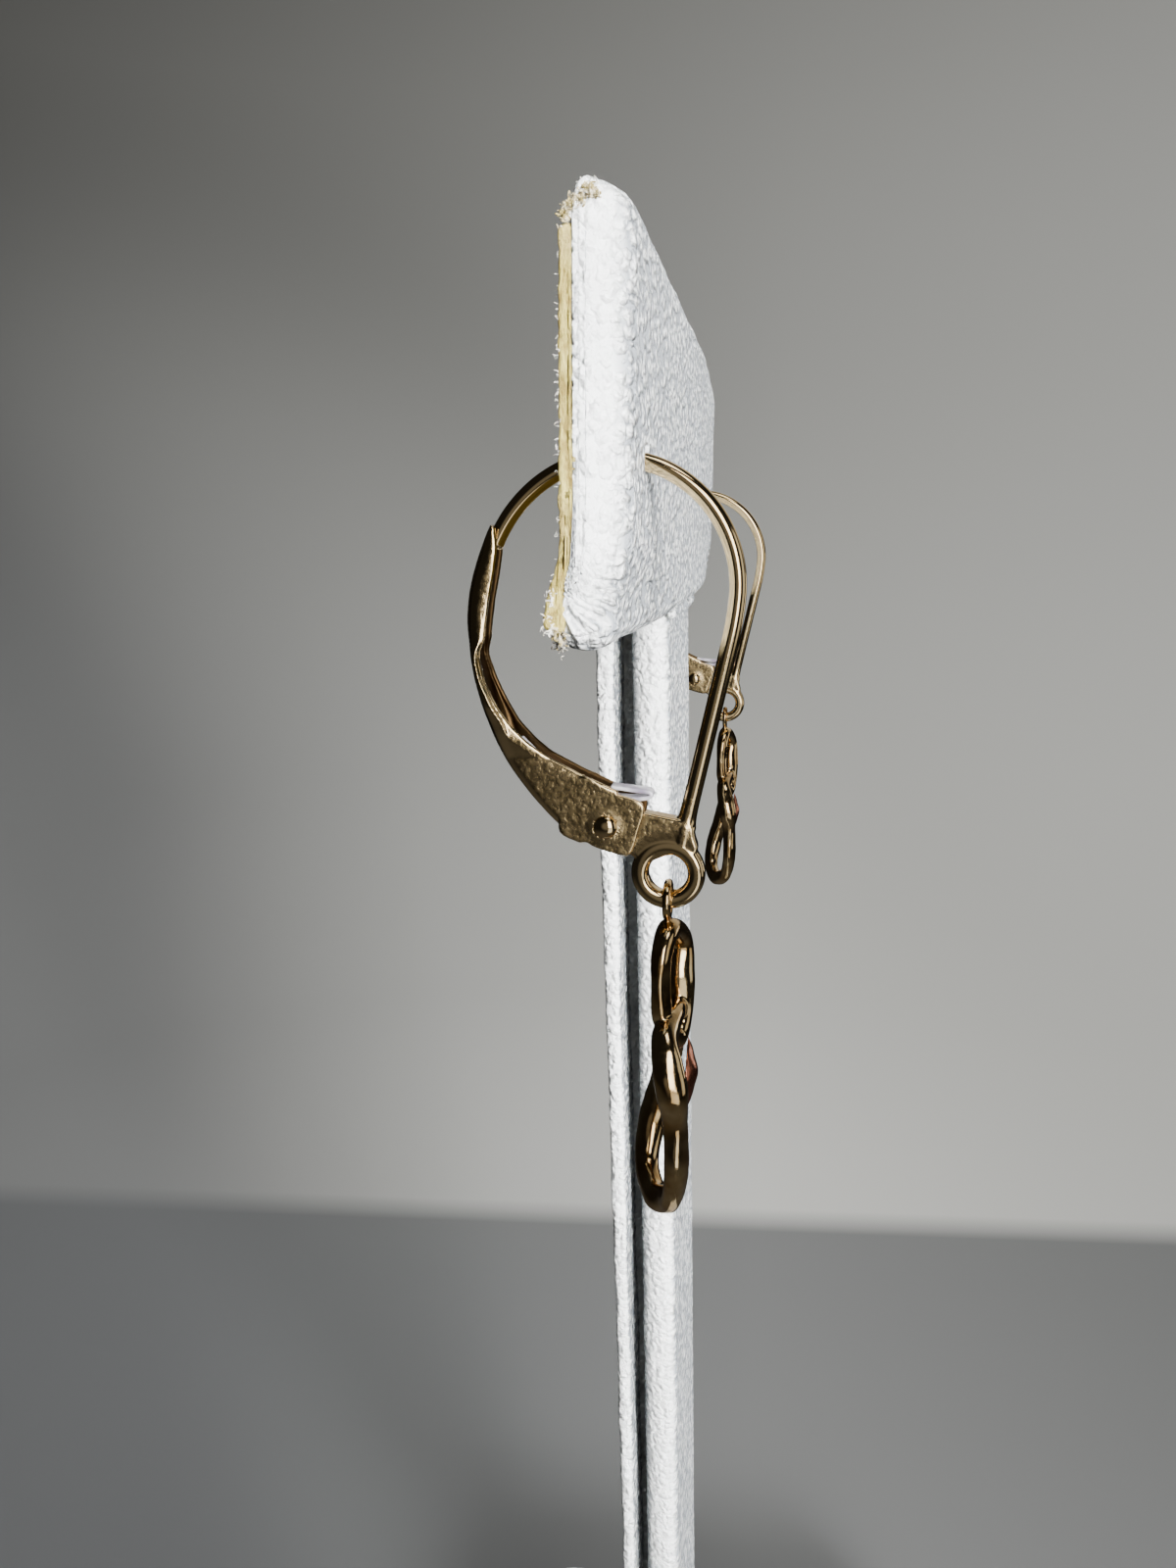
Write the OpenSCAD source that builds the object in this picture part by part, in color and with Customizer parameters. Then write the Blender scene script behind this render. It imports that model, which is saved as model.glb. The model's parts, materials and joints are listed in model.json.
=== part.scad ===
// Pair of leverback drop earrings hanging from a T-shaped display stand.
// Millimetres. +Z is up, X runs along the head bar, -Y is the front of the stand.
// The origin is the middle of the base's underside.

/* [Stand] */
// Height of the whole stand
stand_h = 116; // [100:1:130]
// Width of the head bar
head_w = 54; // [48:1:70]
// Height of the head bar
head_h = 14.5; // [11:0.1:18]
// Thickness of the wrapped head board
head_t = 1.6; // [1.2:0.1:2.2]
// Thickness of the backing card on the head
backing_t = 0.7; // [0.4:0.1:1.2]
// Corner radius of the head bar
head_corner = 1.2; // [0.8:0.1:4]
// Width of the post
post_w = 13; // [10:0.5:18]
// Thickness of the post board
post_t = 2.0; // [1.5:0.1:3]
// Thickness of the strip behind the post board
strip_t = 1.4; // [0.8:0.1:2]
// Lean of the post from upright, foot forward
post_lean = 1.5; // [0:0.5:4]
// Width of the base
base_w = 50; // [40:1:70]
// Depth of the base
base_d = 40; // [34:1:60]
// Height of the base
base_h = 8; // [5:0.5:12]

/* [Ear hook and lever] */
// Distance between the two earrings
pair_gap = 44; // [40:1:46]
// Diameter of the hook wire
wire_d = 0.64; // [0.6:0.01:0.66]
// Thickness of the plate that carries the pivot
plate_t = 0.76; // [0.7:0.01:0.8]
// Outer radius of the eyelet under the hook
eye_ro = 1.43; // [1.4:0.01:1.5]
// Hole radius of the eyelet
eye_ri = 0.745; // [0.7:0.005:0.76]
// Thickness of the eyelet across its axis
eye_t = 0.92; // [0.8:0.01:0.94]
// Wall thickness of the lever's folded sheet
lever_wall = 0.22; // [0.2:0.01:0.24]
// Radius of the rivet's shank
rivet_r = 0.30; // [0.28:0.01:0.32]

/* [Drop] */
// Radius of the bail's round wire
bail_wire_r = 0.17; // [0.15:0.01:0.19]
// Length of the small leaf on the front
leaf_l = 2.9; // [2.5:0.1:4]
// Width of the small leaf
leaf_w = 1.7; // [1.2:0.1:2.2]

/* [Hidden] */
$fn = 64;

LEATHERETTE = "#eceeee";
CARD = "#d9cfa6";
GOLD = "#d8b04c";
ROSE_GOLD = "#c98467";
STEEL = "#b8b2a6";

// Gap left between two pieces that touch on the real thing.
seat = 0.05;

// The eyelet's centre: every earring size below is measured from it, as y to the back and z up.
eye_y = 4;
eye_z = stand_h - 23.3;
head_front_y = eye_y + 1;
head_z = stand_h - head_h;
hole_z = eye_z + 15.34;
hole_r = 0.5;

// The post's front face leans along this line, which passes behind the head's lower edge.
post_top_y = eye_y + 1.7;
strip_top = stand_h - 4;
slot_floor = base_h - 5;
base_corner = 4;
slot_gap = 0.1;

// The wire leaves the plate here, leaning forward, and bends back over the top in arcs.
foot = [-0.54, 1.5];
foot_lean = 12;
leg_l = 7.6;
// One row an arc: [bend radius, turn in degrees]
hook_bends = [[11.2, 8], [4.57, 130], [5.1, 34]];
// Each arc starts a little inside the stretch before it, and is drawn a hair thinner.
wire_lap = 0.05;
wire_step = 0.004;

pivot = [2.37, 1.85];
tongue_r = 0.95;
pivot_clearance = 0.03;
ear_gap = 0.04;
rivet_fit = 0.02;
dome_r = 0.45;
dome_h = 0.22;
ear_inner = plate_t / 2 + ear_gap;
lever_half = ear_inner + lever_wall;

// Side outline of the plate between the wire's foot, the eyelet and the pivot.
plate_outline = [
    [-1.06, 0.9], [-0.98, 1.5], [-0.86, 2.0], [-0.5, 2.14], [0.95, 2.42], [1.75, 2.68], [2.35, 2.98],
    [2.95, 2.6], [3.2, 2.0], [2.6, 1.0], [1.95, 0.96], [1.3, 0.62], [0.9, 0.4]
];

// Back of the lever, from the end of its floor up to the tip: [y, z]
lever_back = [
    [3.5, 1.22], [4.45, 2.0], [5.48, 3.12], [6.38, 4.4], [7.02, 5.95], [7.44, 7.6],
    [7.72, 9.2], [7.64, 10.5], [7.36, 11.6], [6.97, 12.62], [6.74, 13.06]
];
// Edge of the lever's cheeks: from the tip to the scoop, along the scoop, and to the front end
cheek_top = [[6.68, 13.04], [6.56, 12.7], [6.54, 12.2], [6.68, 11.3], [6.88, 10.3], [7.02, 9.3], [7.06, 8.72]];
cheek_scoop = [[7.17, 8.52], [7.22, 8.15], [6.98, 7.3], [6.56, 6.42], [6.02, 5.58], [5.36, 4.93]];
cheek_low = [[4.74, 4.47], [3.32, 3.76], [2.02, 3.2], [0.93, 2.78]];
// Front end and underside of the two ears, up to the step where the floor begins
ear_end = [[1.12, 1.7], [1.3, 1.05], [1.54, 0.72], [2.3, 0.88], [2.85, 1.06], [3.1, 1.2]];
// Above this height the floor of the lever is thinned for the wire.
tip_from = 10.9;
tip_wall = 0.1;
// The open side of the lever's hollow, from above the tip down to below the ears
lever_mouth = [[6.0, 14], [3, 10], [-0.5, 6], [-0.5, 0], [3.46, 0]];
// Wider than any earring part, for cuts that go right through.
through = 3;
// Half width of the lever at each height: [half width, z]
lever_plan = [
    [lever_half, 0.4], [lever_half, 4.4], [0.92, 5.4], [1.12, 6.4], [1.12, 7.5], [0.9, 8.3],
    [0.66, 8.9], [0.62, 10], [0.6, 12], [0.58, 12.8], [0.52, 13.3]
];

// Middle line of the flat spring that lies in the lever: [y, z]
spring_line = [
    [7.12, 7.8], [6.84, 6.85], [6.34, 5.85], [5.6, 4.92], [4.55, 4.1], [3.5, 3.55], [2.6, 3.27],
    [1.8, 3.13], [1.1, 3.15], [0.82, 3.26]
];
spring_t = 0.12;
spring_w = 0.68;

// The two cast loops of the drop, hung below the eyelet.
// One row a section: [x, y, z, half thickness front to back, half width in the loop's plane]
upper_loop = [
    [0, -0.1, -2.3, 0.45, 0.42], [-0.75, 0.1, -2.7, 0.4, 0.4], [-1.15, 0.13, -4.0, 0.3, 0.42],
    [-1.0, 0.07, -5.4, 0.37, 0.42], [-0.45, -0.2, -6.5, 0.38, 0.42], [0.25, -0.45, -6.9, 0.4, 0.42],
    [0.95, -0.55, -6.1, 0.46, 0.45], [1.25, -0.47, -4.6, 0.56, 0.5], [0.95, -0.42, -3.0, 0.48, 0.46]
];
lower_loop = [
    [0.0, -0.35, -5.7, 0.42, 0.45], [-1.2, -0.1, -6.2, 0.54, 0.52], [-1.9, -0.33, -7.7, 0.63, 0.58],
    [-2.3, -0.55, -9.6, 0.58, 0.6], [-2.2, -0.76, -11.4, 0.42, 0.58], [-1.3, -0.42, -13.1, 0.44, 0.56],
    [0.0, 0.3, -13.9, 0.5, 0.53], [1.4, 0.84, -13.3, 0.5, 0.55], [2.3, 0.7, -11.7, 0.58, 0.6],
    [2.3, 0.28, -9.9, 0.52, 0.6], [1.9, -0.1, -8.0, 0.5, 0.55], [1.2, -0.3, -6.3, 0.46, 0.5]
];
loop_sides = 12;
loop_steps = 4;
bail_z = -1.1;
bail_r = 0.65;
leaf_t = 0.4;
leaf_at = [0.5, -0.82, -8.6];
leaf_turn = 20;

// A Catmull-Rom curve through the rows of a table, open or closed, with n steps a span.
function blend(a, b, c, d, t) = b + (c - a) * t / 2 + (2 * a - 5 * b + 4 * c - d) * t * t / 2
    + (3 * b - a - 3 * c + d) * t * t * t / 2;
function curve(p, n) = [
    for (i = [0 : len(p) - 2]) for (k = [0 : n - 1])
        blend(p[max(i - 1, 0)], p[i], p[i + 1], p[min(i + 2, len(p) - 1)], k / n),
    p[len(p) - 1]
];
function loop_curve(p, n) = [
    for (i = [0 : len(p) - 1]) for (k = [0 : n - 1])
        blend(p[(i + len(p) - 1) % len(p)], p[i], p[(i + 1) % len(p)], p[(i + 2) % len(p)], k / n)
];

// An open line of points moved sideways by d, to the left of its direction.
function beside(p, d) = [
    for (i = [0 : len(p) - 1])
        let (s = p[min(i + 1, len(p) - 1)] - p[max(i - 1, 0)], u = s / norm(s))
            p[i] + d * [-u[1], u[0]]
];
function backwards(p) = [for (i = [len(p) - 1 : -1 : 0]) p[i]];

// Where arc i of the hook starts, and its heading from upright: [y, z, lean]
function hook_at(i) = i == 0
    ? [foot[0] - leg_l * sin(foot_lean), foot[1] + leg_l * cos(foot_lean), foot_lean]
    : let (s = hook_at(i - 1), r = hook_bends[i - 1][0], t = hook_bends[i - 1][1])
        [s[0] + r * (cos(s[2]) - cos(s[2] - t)), s[1] + r * (sin(s[2]) - sin(s[2] - t)), s[2] - t];

// Stands a flat drawing of y and z upright, t thick along X and centred on X = 0.
module side_plate(t) {
    rotate([90, 0, 90]) linear_extrude(t, center = true) children();
}

module at_ear(side) {
    translate([side * pair_gap / 2, eye_y, eye_z]) children();
}

// A rectangle with round corners, centred, in the drawing plane.
module round_rectangle(w, h, r) {
    square([w - 2 * r, h], center = true);
    square([w, h - 2 * r], center = true);
    for (x = [-1, 1], y = [-1, 1]) translate([x * (w / 2 - r), y * (h / 2 - r)]) circle(r);
}

// A closed tube of changing oval section along a loop of sections.
module swept_loop(sections) {
    p = loop_curve(sections, loop_steps);
    n = len(p);
    m = loop_sides;
    function at(i) = [p[i % n][0], p[i % n][1], p[i % n][2]];
    points = [
        for (i = [0 : n - 1])
            let (d = at(i + 1) - at(i + n - 1), t = d / norm(d), b = [0, 1, 0] - t[1] * t,
                across = b / norm(b), out = cross(t, across))
            for (k = [0 : m - 1])
                at(i) + p[i][3] * cos(360 * k / m) * across + p[i][4] * sin(360 * k / m) * out
    ];
    faces = [
        for (i = [0 : n - 1], k = [0 : m - 1])
            let (j = (i + 1) % n, l = (k + 1) % m)
                each [[i * m + k, j * m + k, j * m + l], [i * m + k, j * m + l, i * m + l]]
    ];
    polyhedron(points, faces);
}

// A board that leans with the post: its front face lies d behind the post's front face.
module leaning_board(d, t, low, high, w) {
    function front(z) = post_top_y + d + (z - head_z) * tan(post_lean);
    side_plate(w) polygon([
        [front(low), low], [front(high), high], [front(high) + t, high], [front(low) + t, low]
    ]);
}

module stand_base() {
    color(LEATHERETTE) difference() {
        linear_extrude(base_h) round_rectangle(base_w, base_d, base_corner);
        leaning_board(-slot_gap, post_t + strip_t + seat + 2 * slot_gap, slot_floor, base_h + 1,
            post_w + 2 * slot_gap);
    }
}

module stand_post() {
    color(LEATHERETTE) leaning_board(0, post_t, slot_floor + seat, head_z - seat, post_w);
}

// The strip runs up behind the head bar, where it is thicker and carries the bar's backing.
module post_back_strip() {
    card_back = head_front_y + head_t + seat + backing_t;
    color(LEATHERETTE) {
        leaning_board(post_t + seat, strip_t, slot_floor + seat, strip_top, post_w);
        translate([-post_w / 2, card_back + seat, head_z]) cube([post_w, strip_t, strip_top - head_z]);
    }
}

module head_board(front, t) {
    translate([0, front + t, head_z + head_h / 2]) rotate([90, 0, 0]) linear_extrude(t)
        round_rectangle(head_w, head_h, head_corner);
}

module wire_holes() {
    for (side = [-1, 1]) translate([side * pair_gap / 2, head_front_y + head_t, hole_z])
        rotate([-90, 0, 0]) cylinder(r = hole_r, h = 3 * head_t, center = true);
}

module stand_head() {
    color(LEATHERETTE) difference() {
        head_board(head_front_y, head_t);
        wire_holes();
    }
}

module head_backing() {
    color(CARD) difference() {
        head_board(head_front_y + head_t + seat, backing_t);
        wire_holes();
    }
}

module hook_wire() {
    r = wire_d / 2;
    translate([0, foot[0], foot[1]]) rotate([foot_lean, 0, 0]) cylinder(r = r, h = leg_l);
    for (i = [0 : len(hook_bends) - 1]) {
        s = hook_at(i);
        bend_r = hook_bends[i][0];
        turn = hook_bends[i][1];
        rotate([90, 0, 90]) translate([s[0] + bend_r * cos(s[2]), s[1] + bend_r * sin(s[2]), 0])
            rotate([0, 0, 180 + s[2] - turn])
                rotate_extrude(angle = turn + wire_lap / bend_r * 180 / PI)
                    translate([bend_r, 0]) circle(r - wire_step * (i + 1));
    }
}

module eyelet() {
    r = (eye_ro - eye_ri) / 2;
    rotate([0, 90, 0]) rotate_extrude() translate([eye_ri + r, 0]) {
        square([2 * r, eye_t - 2 * r], center = true);
        for (x = [-1, 1]) translate([0, x * (eye_t / 2 - r)]) circle(r);
    }
}

module ear_hook(side) {
    color(GOLD) at_ear(side) difference() {
        union() {
            hook_wire();
            eyelet();
            difference() {
                side_plate(plate_t) {
                    polygon(plate_outline);
                    translate(pivot) circle(tongue_r);
                }
                side_plate(through) circle((eye_ri + eye_ro) / 2);
            }
        }
        side_plate(through) translate(pivot) circle(rivet_r + pivot_clearance);
    }
}

module lever_side() {
    polygon(concat(curve(lever_back, 3), curve(cheek_top, 3), curve(cheek_scoop, 3), curve(cheek_low, 2), ear_end));
}

// The hollow between the cheeks, open below the ears and all along the inside. Near the tip, where
// the end of the wire lies in it, its floor is thinner.
module lever_hollow() {
    back = curve(lever_back, 3);
    tip = [for (p = back) if (p[1] > tip_from) p];
    polygon(concat(beside(back, lever_wall), lever_mouth));
    polygon(concat(beside(tip, tip_wall), [lever_mouth[0], [lever_mouth[0][0], tip_from]]));
}

// The lever's outline as seen from the front, drawn in by the inset, and run from front to back.
module lever_front_view(inset) {
    right = [for (p = curve(lever_plan, 3)) [p[0] - inset, p[1]]];
    left = [for (p = backwards(right)) [-p[0], p[1]]];
    rotate([90, 0, 0]) linear_extrude(20, center = true) polygon(concat(right, left));
}

module lever(side) {
    color(GOLD) at_ear(side) difference() {
        intersection() {
            side_plate(through) lever_side();
            lever_front_view(0);
        }
        intersection() {
            side_plate(through) lever_hollow();
            lever_front_view(lever_wall);
        }
        side_plate(through) translate(pivot) circle(rivet_r + rivet_fit);
    }
}

// The rivet is closed over both ears with a low dome.
module rivet(side) {
    ball_r = (dome_r * dome_r + dome_h * dome_h) / (2 * dome_h);
    seat_x = lever_half + rivet_fit;
    color(GOLD) at_ear(side) translate([0, pivot[0], pivot[1]]) {
        rotate([0, 90, 0]) cylinder(r = rivet_r, h = 2 * seat_x, center = true);
        for (s = [-1, 1]) rotate([0, s * 90, 0]) translate([0, 0, seat_x]) intersection() {
            cylinder(r = dome_r, h = dome_h);
            translate([0, 0, dome_h - ball_r]) sphere(ball_r);
        }
    }
}

module spring_leaf(side) {
    line = curve(spring_line, 3);
    color(STEEL) at_ear(side) side_plate(spring_w)
        polygon(concat(beside(line, spring_t / 2), backwards(beside(line, -spring_t / 2))));
}

module bail() {
    translate([0, 0, bail_z]) rotate([90, 0, 0]) rotate_extrude() translate([bail_r, 0]) circle(bail_wire_r);
}

module drop(side) {
    color(GOLD) at_ear(side) {
        bail();
        swept_loop(upper_loop);
        swept_loop(lower_loop);
    }
}

// A lens outline with a domed front.
module leaf(side) {
    arc_r = (leaf_l * leaf_l + leaf_w * leaf_w) / (4 * leaf_w);
    dome = leaf_l * 1.4;
    color(ROSE_GOLD) at_ear(side) translate(leaf_at) rotate([90, leaf_turn, 0]) intersection() {
        linear_extrude(leaf_t) intersection_for(s = [-1, 1])
            translate([s * (arc_r - leaf_w / 2), 0]) circle(arc_r, $fn = 240);
        translate([0, 0, leaf_t - dome]) sphere(dome, $fn = 240);
    }
}

stand_base();
stand_post();
post_back_strip();
stand_head();
head_backing();
ear_hook(-1);  // ear_hook_left
lever(-1);  // lever_left
rivet(-1);  // rivet_left
spring_leaf(-1);  // spring_leaf_left
drop(-1);  // drop_left
leaf(-1);  // leaf_left
ear_hook(1);  // ear_hook_right
lever(1);  // lever_right
rivet(1);  // rivet_right
spring_leaf(1);  // spring_leaf_right
drop(1);  // drop_right
leaf(1);  // leaf_right
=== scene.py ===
"""Pair of gold leverback drop earrings on a white display stand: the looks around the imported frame.

Lengths inside the shape functions are millimetres, and every earring part is measured from the
middle of its own eyelet: x along the head bar, y to the back, z up.
"""

import json
import math
from functools import partial

import bmesh
import bpy
import numpy as np
from bpy.props import FloatProperty, FloatVectorProperty, PointerProperty
from mathutils import Matrix, Vector


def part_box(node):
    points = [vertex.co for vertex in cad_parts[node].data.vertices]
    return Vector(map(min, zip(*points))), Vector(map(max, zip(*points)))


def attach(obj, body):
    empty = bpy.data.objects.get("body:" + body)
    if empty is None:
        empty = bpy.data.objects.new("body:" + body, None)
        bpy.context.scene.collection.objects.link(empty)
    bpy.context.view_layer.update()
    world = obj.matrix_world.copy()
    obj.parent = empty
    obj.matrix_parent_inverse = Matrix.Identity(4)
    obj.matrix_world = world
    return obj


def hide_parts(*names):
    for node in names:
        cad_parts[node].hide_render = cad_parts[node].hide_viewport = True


bl_info = {
    "name": "Leverback earrings on a stand",
    "version": (1, 0, 0),
    "blender": (4, 5, 0),
    "location": "3D View > Sidebar > Earrings",
    "description": "Builds a pair of gold leverback drop earrings and their display stand",
    "category": "Add Mesh",
}

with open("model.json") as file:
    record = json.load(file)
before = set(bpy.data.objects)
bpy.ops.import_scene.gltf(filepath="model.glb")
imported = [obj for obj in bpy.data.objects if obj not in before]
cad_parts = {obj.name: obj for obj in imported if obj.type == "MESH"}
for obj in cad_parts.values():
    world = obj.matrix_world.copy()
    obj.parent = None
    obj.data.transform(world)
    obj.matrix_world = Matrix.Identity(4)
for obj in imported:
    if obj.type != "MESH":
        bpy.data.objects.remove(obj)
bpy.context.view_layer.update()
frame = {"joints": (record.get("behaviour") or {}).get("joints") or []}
MM = 0.001


def corners(node):
    """A CAD node's lowest and highest corners, in millimetres."""
    low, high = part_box(node)
    return np.array(low) / MM, np.array(high) / MM


# The eyelets' middles, in metres, are where the drops swing.
EYELETS = {
    side: next(j["pos_m"] for j in frame["joints"] if j["name"] == f"drop_swing_{side}")
    for side in ("left", "right")
}
EYE_X, EYE_Y, EYE_Z = (c / MM for c in EYELETS["right"])
# The wires go through the head bar this far above their eyelets.
HOLE_RISE = 15.34
HOLE_Z = EYE_Z + HOLE_RISE
WIRES_X = (-EYE_X, EYE_X)
HEAD_LOW, HEAD_HIGH = corners("stand_head")
TOP, BOTTOM = HEAD_HIGH[2], HEAD_LOW[2]


def linear(hex_colour):
    """The linear colour of an sRGB hex value."""
    c = np.array([int(hex_colour[i:i + 2], 16) / 255 for i in (1, 3, 5)])
    return tuple(np.where(c <= 0.04045, c / 12.92, ((c + 0.055) / 1.055) ** 2.4)) + (1.0,)


def colour_property(name, description, hex_colour):
    """A colour that the user may change."""
    return FloatVectorProperty(
        name=name, description=description, subtype="COLOR", size=4, min=0, max=1,
        default=linear(hex_colour),
    )


def length_property(name, description, mm, precision):
    """A length that the user may change."""
    return FloatProperty(
        name=name, description=description, default=mm * MM, unit="LENGTH", precision=precision
    )


class EarringSizes(bpy.types.PropertyGroup):
    """Sizes of the gold parts that the frame leaves open."""

    wire_radius: length_property("Wire radius", "Radius of the hook's wire", 0.32, 5)
    sheet: length_property("Lever sheet", "Thickness of the lever's sheet", 0.22, 5)
    fusing: length_property("Fusing size", "Grain at which soldered and cast forms flow together", 0.045, 6)


class EarringColours(bpy.types.PropertyGroup):
    """Colours of the finishes."""

    gold: colour_property("Yellow gold", "Polished yellow gold", "#ebcf9b")
    rose: colour_property("Rose gold", "Polished rose gold", "#c98468")
    steel: colour_property("Spring steel", "Rolled spring strip", "#f0eef2")
    leatherette: colour_property("Leatherette", "White coated cover", "#f2f4f3")
    card: colour_property("Backing card", "Yellowed fibrous card", "#cfbf6c")


def sizes():
    """The sizes as they are set in the scene."""
    return bpy.context.scene.earring_sizes


def colours():
    """The colours as they are set in the scene."""
    return bpy.context.scene.earring_colours


# Shapes shared by all pieces


def unit(v):
    """Vectors made one long."""
    return v / np.linalg.norm(v, axis=-1, keepdims=True)


def turns(n):
    """n even angles round a full turn."""
    return np.linspace(0, 2 * math.pi, n, endpoint=False)


def quarter_turn(way):
    """Directions in a plane turned by 90 degrees to the left."""
    return np.column_stack([-way[:, 1], way[:, 0]])


def grid(x, y, z):
    """A grid of points from their three coordinates, each given for the grid, its rows or its columns."""
    return np.stack(np.broadcast_arrays(x, y, z), -1)


def squared_circle(a, power):
    """The curve |x|^power + |y|^power = 1: cos a and sin a, each with its sign kept, to the 2 / power."""
    return tuple(np.sign(c) * np.abs(c) ** (2 / power) for c in (np.cos(a), np.sin(a)))


def blend_rows(p, steps, loop=False):
    """Catmull-Rom curve through the rows of a table: each span's cubic passes through its two rows with
    the slope of the chord between their neighbours."""
    p = np.asarray(p, float)
    n = len(p)
    if loop:
        i = np.arange(n)
        a, b, c, d = p[(i - 1) % n], p[i], p[(i + 1) % n], p[(i + 2) % n]
    else:
        i = np.arange(n - 1)
        a, b, c, d = p[np.maximum(i - 1, 0)], p[i], p[i + 1], p[np.minimum(i + 2, n - 1)]
    t = (np.arange(steps) / steps)[None, :, None]
    a, b, c, d = (q[:, None, :] for q in (a, b, c, d))
    rows = b + (c - a) * t / 2 + (2 * a - 5 * b + 4 * c - d) * t**2 / 2 + (3 * b - a - 3 * c + d) * t**3 / 2
    rows = rows.reshape(-1, p.shape[1])
    return rows if loop else np.vstack([rows, p[-1]])


def along(p, loop=False):
    """Unit direction of a line of points at each point: the chord between its two neighbours."""
    return unit(np.roll(p, -1, 0) - np.roll(p, 1, 0) if loop else np.gradient(p, axis=0))


def lengths(p):
    """Distance of each point from the line's start, measured along it."""
    return np.concatenate([[0], np.cumsum(np.linalg.norm(np.diff(p, axis=0), axis=1))])


def noise(points, size, seed, octaves=3):
    """Smooth irregularity at points, mostly between -1 and 1: sums of sine waves in seeded random
    directions, whose wavelengths start at size and halve with each octave."""
    rng = np.random.default_rng(seed)
    total = np.zeros(points.shape[:-1])
    for octave in range(octaves):
        for _ in range(5):
            way = rng.normal(size=3)
            way *= 2 * math.pi * 2**octave / (size * np.linalg.norm(way))
            total += np.sin(points @ way + rng.uniform(0, 2 * math.pi)) / 2**octave
    return total / 5


def grid_faces(n, m, loop=False):
    """Four-sided faces over a grid of n rows by m columns. Columns always wrap round, and rows do if loop."""
    row = np.arange(n if loop else n - 1)[:, None]
    col = np.arange(m)[None, :]
    below, beside = (row + 1) % n, (col + 1) % m
    faces = [row * m + col, below * m + col, below * m + beside, row * m + beside]
    return np.stack(faces, -1).reshape(-1, 4).tolist()


def shell(rows, loop=False):
    """A closed skin over a grid of points: columns wrap round, rows wrap if loop, and otherwise the first
    and last row are each closed by a fan to their middle point."""
    n, m = rows.shape[:2]
    points, faces = rows.reshape(-1, 3), grid_faces(n, m, loop)
    if not loop:
        points = np.vstack([points, rows[0].mean(0), rows[-1].mean(0)])
        col = np.arange(m)
        beside = (col + 1) % m
        first, last = np.full(m, n * m), np.full(m, n * m + 1)
        faces += np.stack([first, col, beside], -1).tolist()
        faces += np.stack([last, (n - 1) * m + beside, (n - 1) * m + col], -1).tolist()
    return points, faces


def even(line, n):
    """A closed line of points replaced by n points at even distances along it."""
    line = np.vstack([line, line[:1]])
    s = lengths(line)
    at = np.linspace(0, s[-1], n, endpoint=False)
    return np.column_stack([np.interp(at, s, c) for c in line.T])


def rounded_outline(rounded_corners, n):
    """A closed outline of straight lines with rounded corners. Each row is a corner and its radius: the
    arc's centre lies on the corner's bisector at radius / sin(half the corner's angle)."""
    c = np.asarray(rounded_corners, float)
    here, radius = c[:, :2], c[:, 2:]
    to_a, to_b = unit(np.roll(here, 1, 0) - here), unit(np.roll(here, -1, 0) - here)
    half = np.arccos(np.clip((to_a * to_b).sum(1, keepdims=True), -1, 1)) / 2
    centre = here + unit(to_a + to_b) * radius / np.sin(half)
    first = here + to_a * radius / np.tan(half) - centre
    last = here + to_b * radius / np.tan(half) - centre
    a = np.arctan2(first[:, 1], first[:, 0])
    turn = (np.arctan2(last[:, 1], last[:, 0]) - a + math.pi) % (2 * math.pi) - math.pi
    angle = a[:, None] + turn[:, None] * np.linspace(0, 1, 13)
    arcs = centre[:, None] + radius[:, None] * np.stack([np.cos(angle), np.sin(angle)], -1)
    return even(arcs.reshape(-1, 2), n)


def outward(rows):
    """Unit normals of a grid: the cross product of its two differences, turned away from the row's middle."""
    n = np.cross(np.gradient(rows, axis=0), np.roll(rows, -1, 1) - np.roll(rows, 1, 1))
    n /= np.maximum(np.linalg.norm(n, axis=-1, keepdims=True), 1e-12)
    away = rows - rows.mean(1, keepdims=True)
    return n * np.sign(np.median((n * away).sum(-1)))


def turned_in(e, radius):
    """How far a rounded edge is drawn in at distance e from the end:
    radius - sqrt(radius^2 - (radius - e)^2)."""
    return radius - np.sqrt(np.maximum(radius**2 - np.maximum(radius - e, 0) ** 2, 0))


def smooth(value, low, high):
    """0 below low, 1 above high, and 3 t^2 - 2 t^3 between."""
    t = np.clip((value - low) / (high - low), 0, 1)
    return t * t * (3 - 2 * t)


def section_axes(way, across):
    """Two unit directions square to each way: across less its part along the way, and the one square to
    both."""
    across = np.asarray(across)
    b = unit(across[None, :] - (way @ across)[:, None] * way)
    return b, np.cross(way, b)


def tube(path, radius, sides, loop=False, across=(1.0, 0.0, 0.0)):
    """Round section carried along a path: point = path + radius (cos a across + sin a out), where out is
    square to the path and to across. radius may change along the path."""
    b, out = (axis[:, None, :] for axis in section_axes(along(path, loop), across))
    a = turns(sides)[None, :, None]
    r = np.broadcast_to(radius, len(path))[:, None, None]
    return shell(path[:, None, :] + r * (np.cos(a) * b + np.sin(a) * out), loop)


def pillow(outline, thickness, edge, x=0.0, rings=6):
    """A flat plate square to X with a rounded rim: each ring is the outline drawn in by edge (1 - cos a) at
    x = thickness/2 - edge (1 - sin a), for a from 0 to 90 degrees on each face."""
    y, z = outline.T
    left = quarter_turn(along(outline, loop=True))
    inward = (left * np.sign(np.sum(y * np.roll(z, -1) - np.roll(y, -1) * z))).T
    a = np.linspace(0, math.pi / 2, rings)
    drawn_in = edge * (1 - np.cos(a))
    height = thickness / 2 - edge * (1 - np.sin(a))
    drawn_in = np.concatenate([drawn_in[::-1], drawn_in])
    height = np.concatenate([-height[::-1], height])
    drawn_in, height = drawn_in[:, None], height[:, None]
    return shell(grid(x + height, y + drawn_in * inward[0], z + drawn_in * inward[1]))


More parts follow.
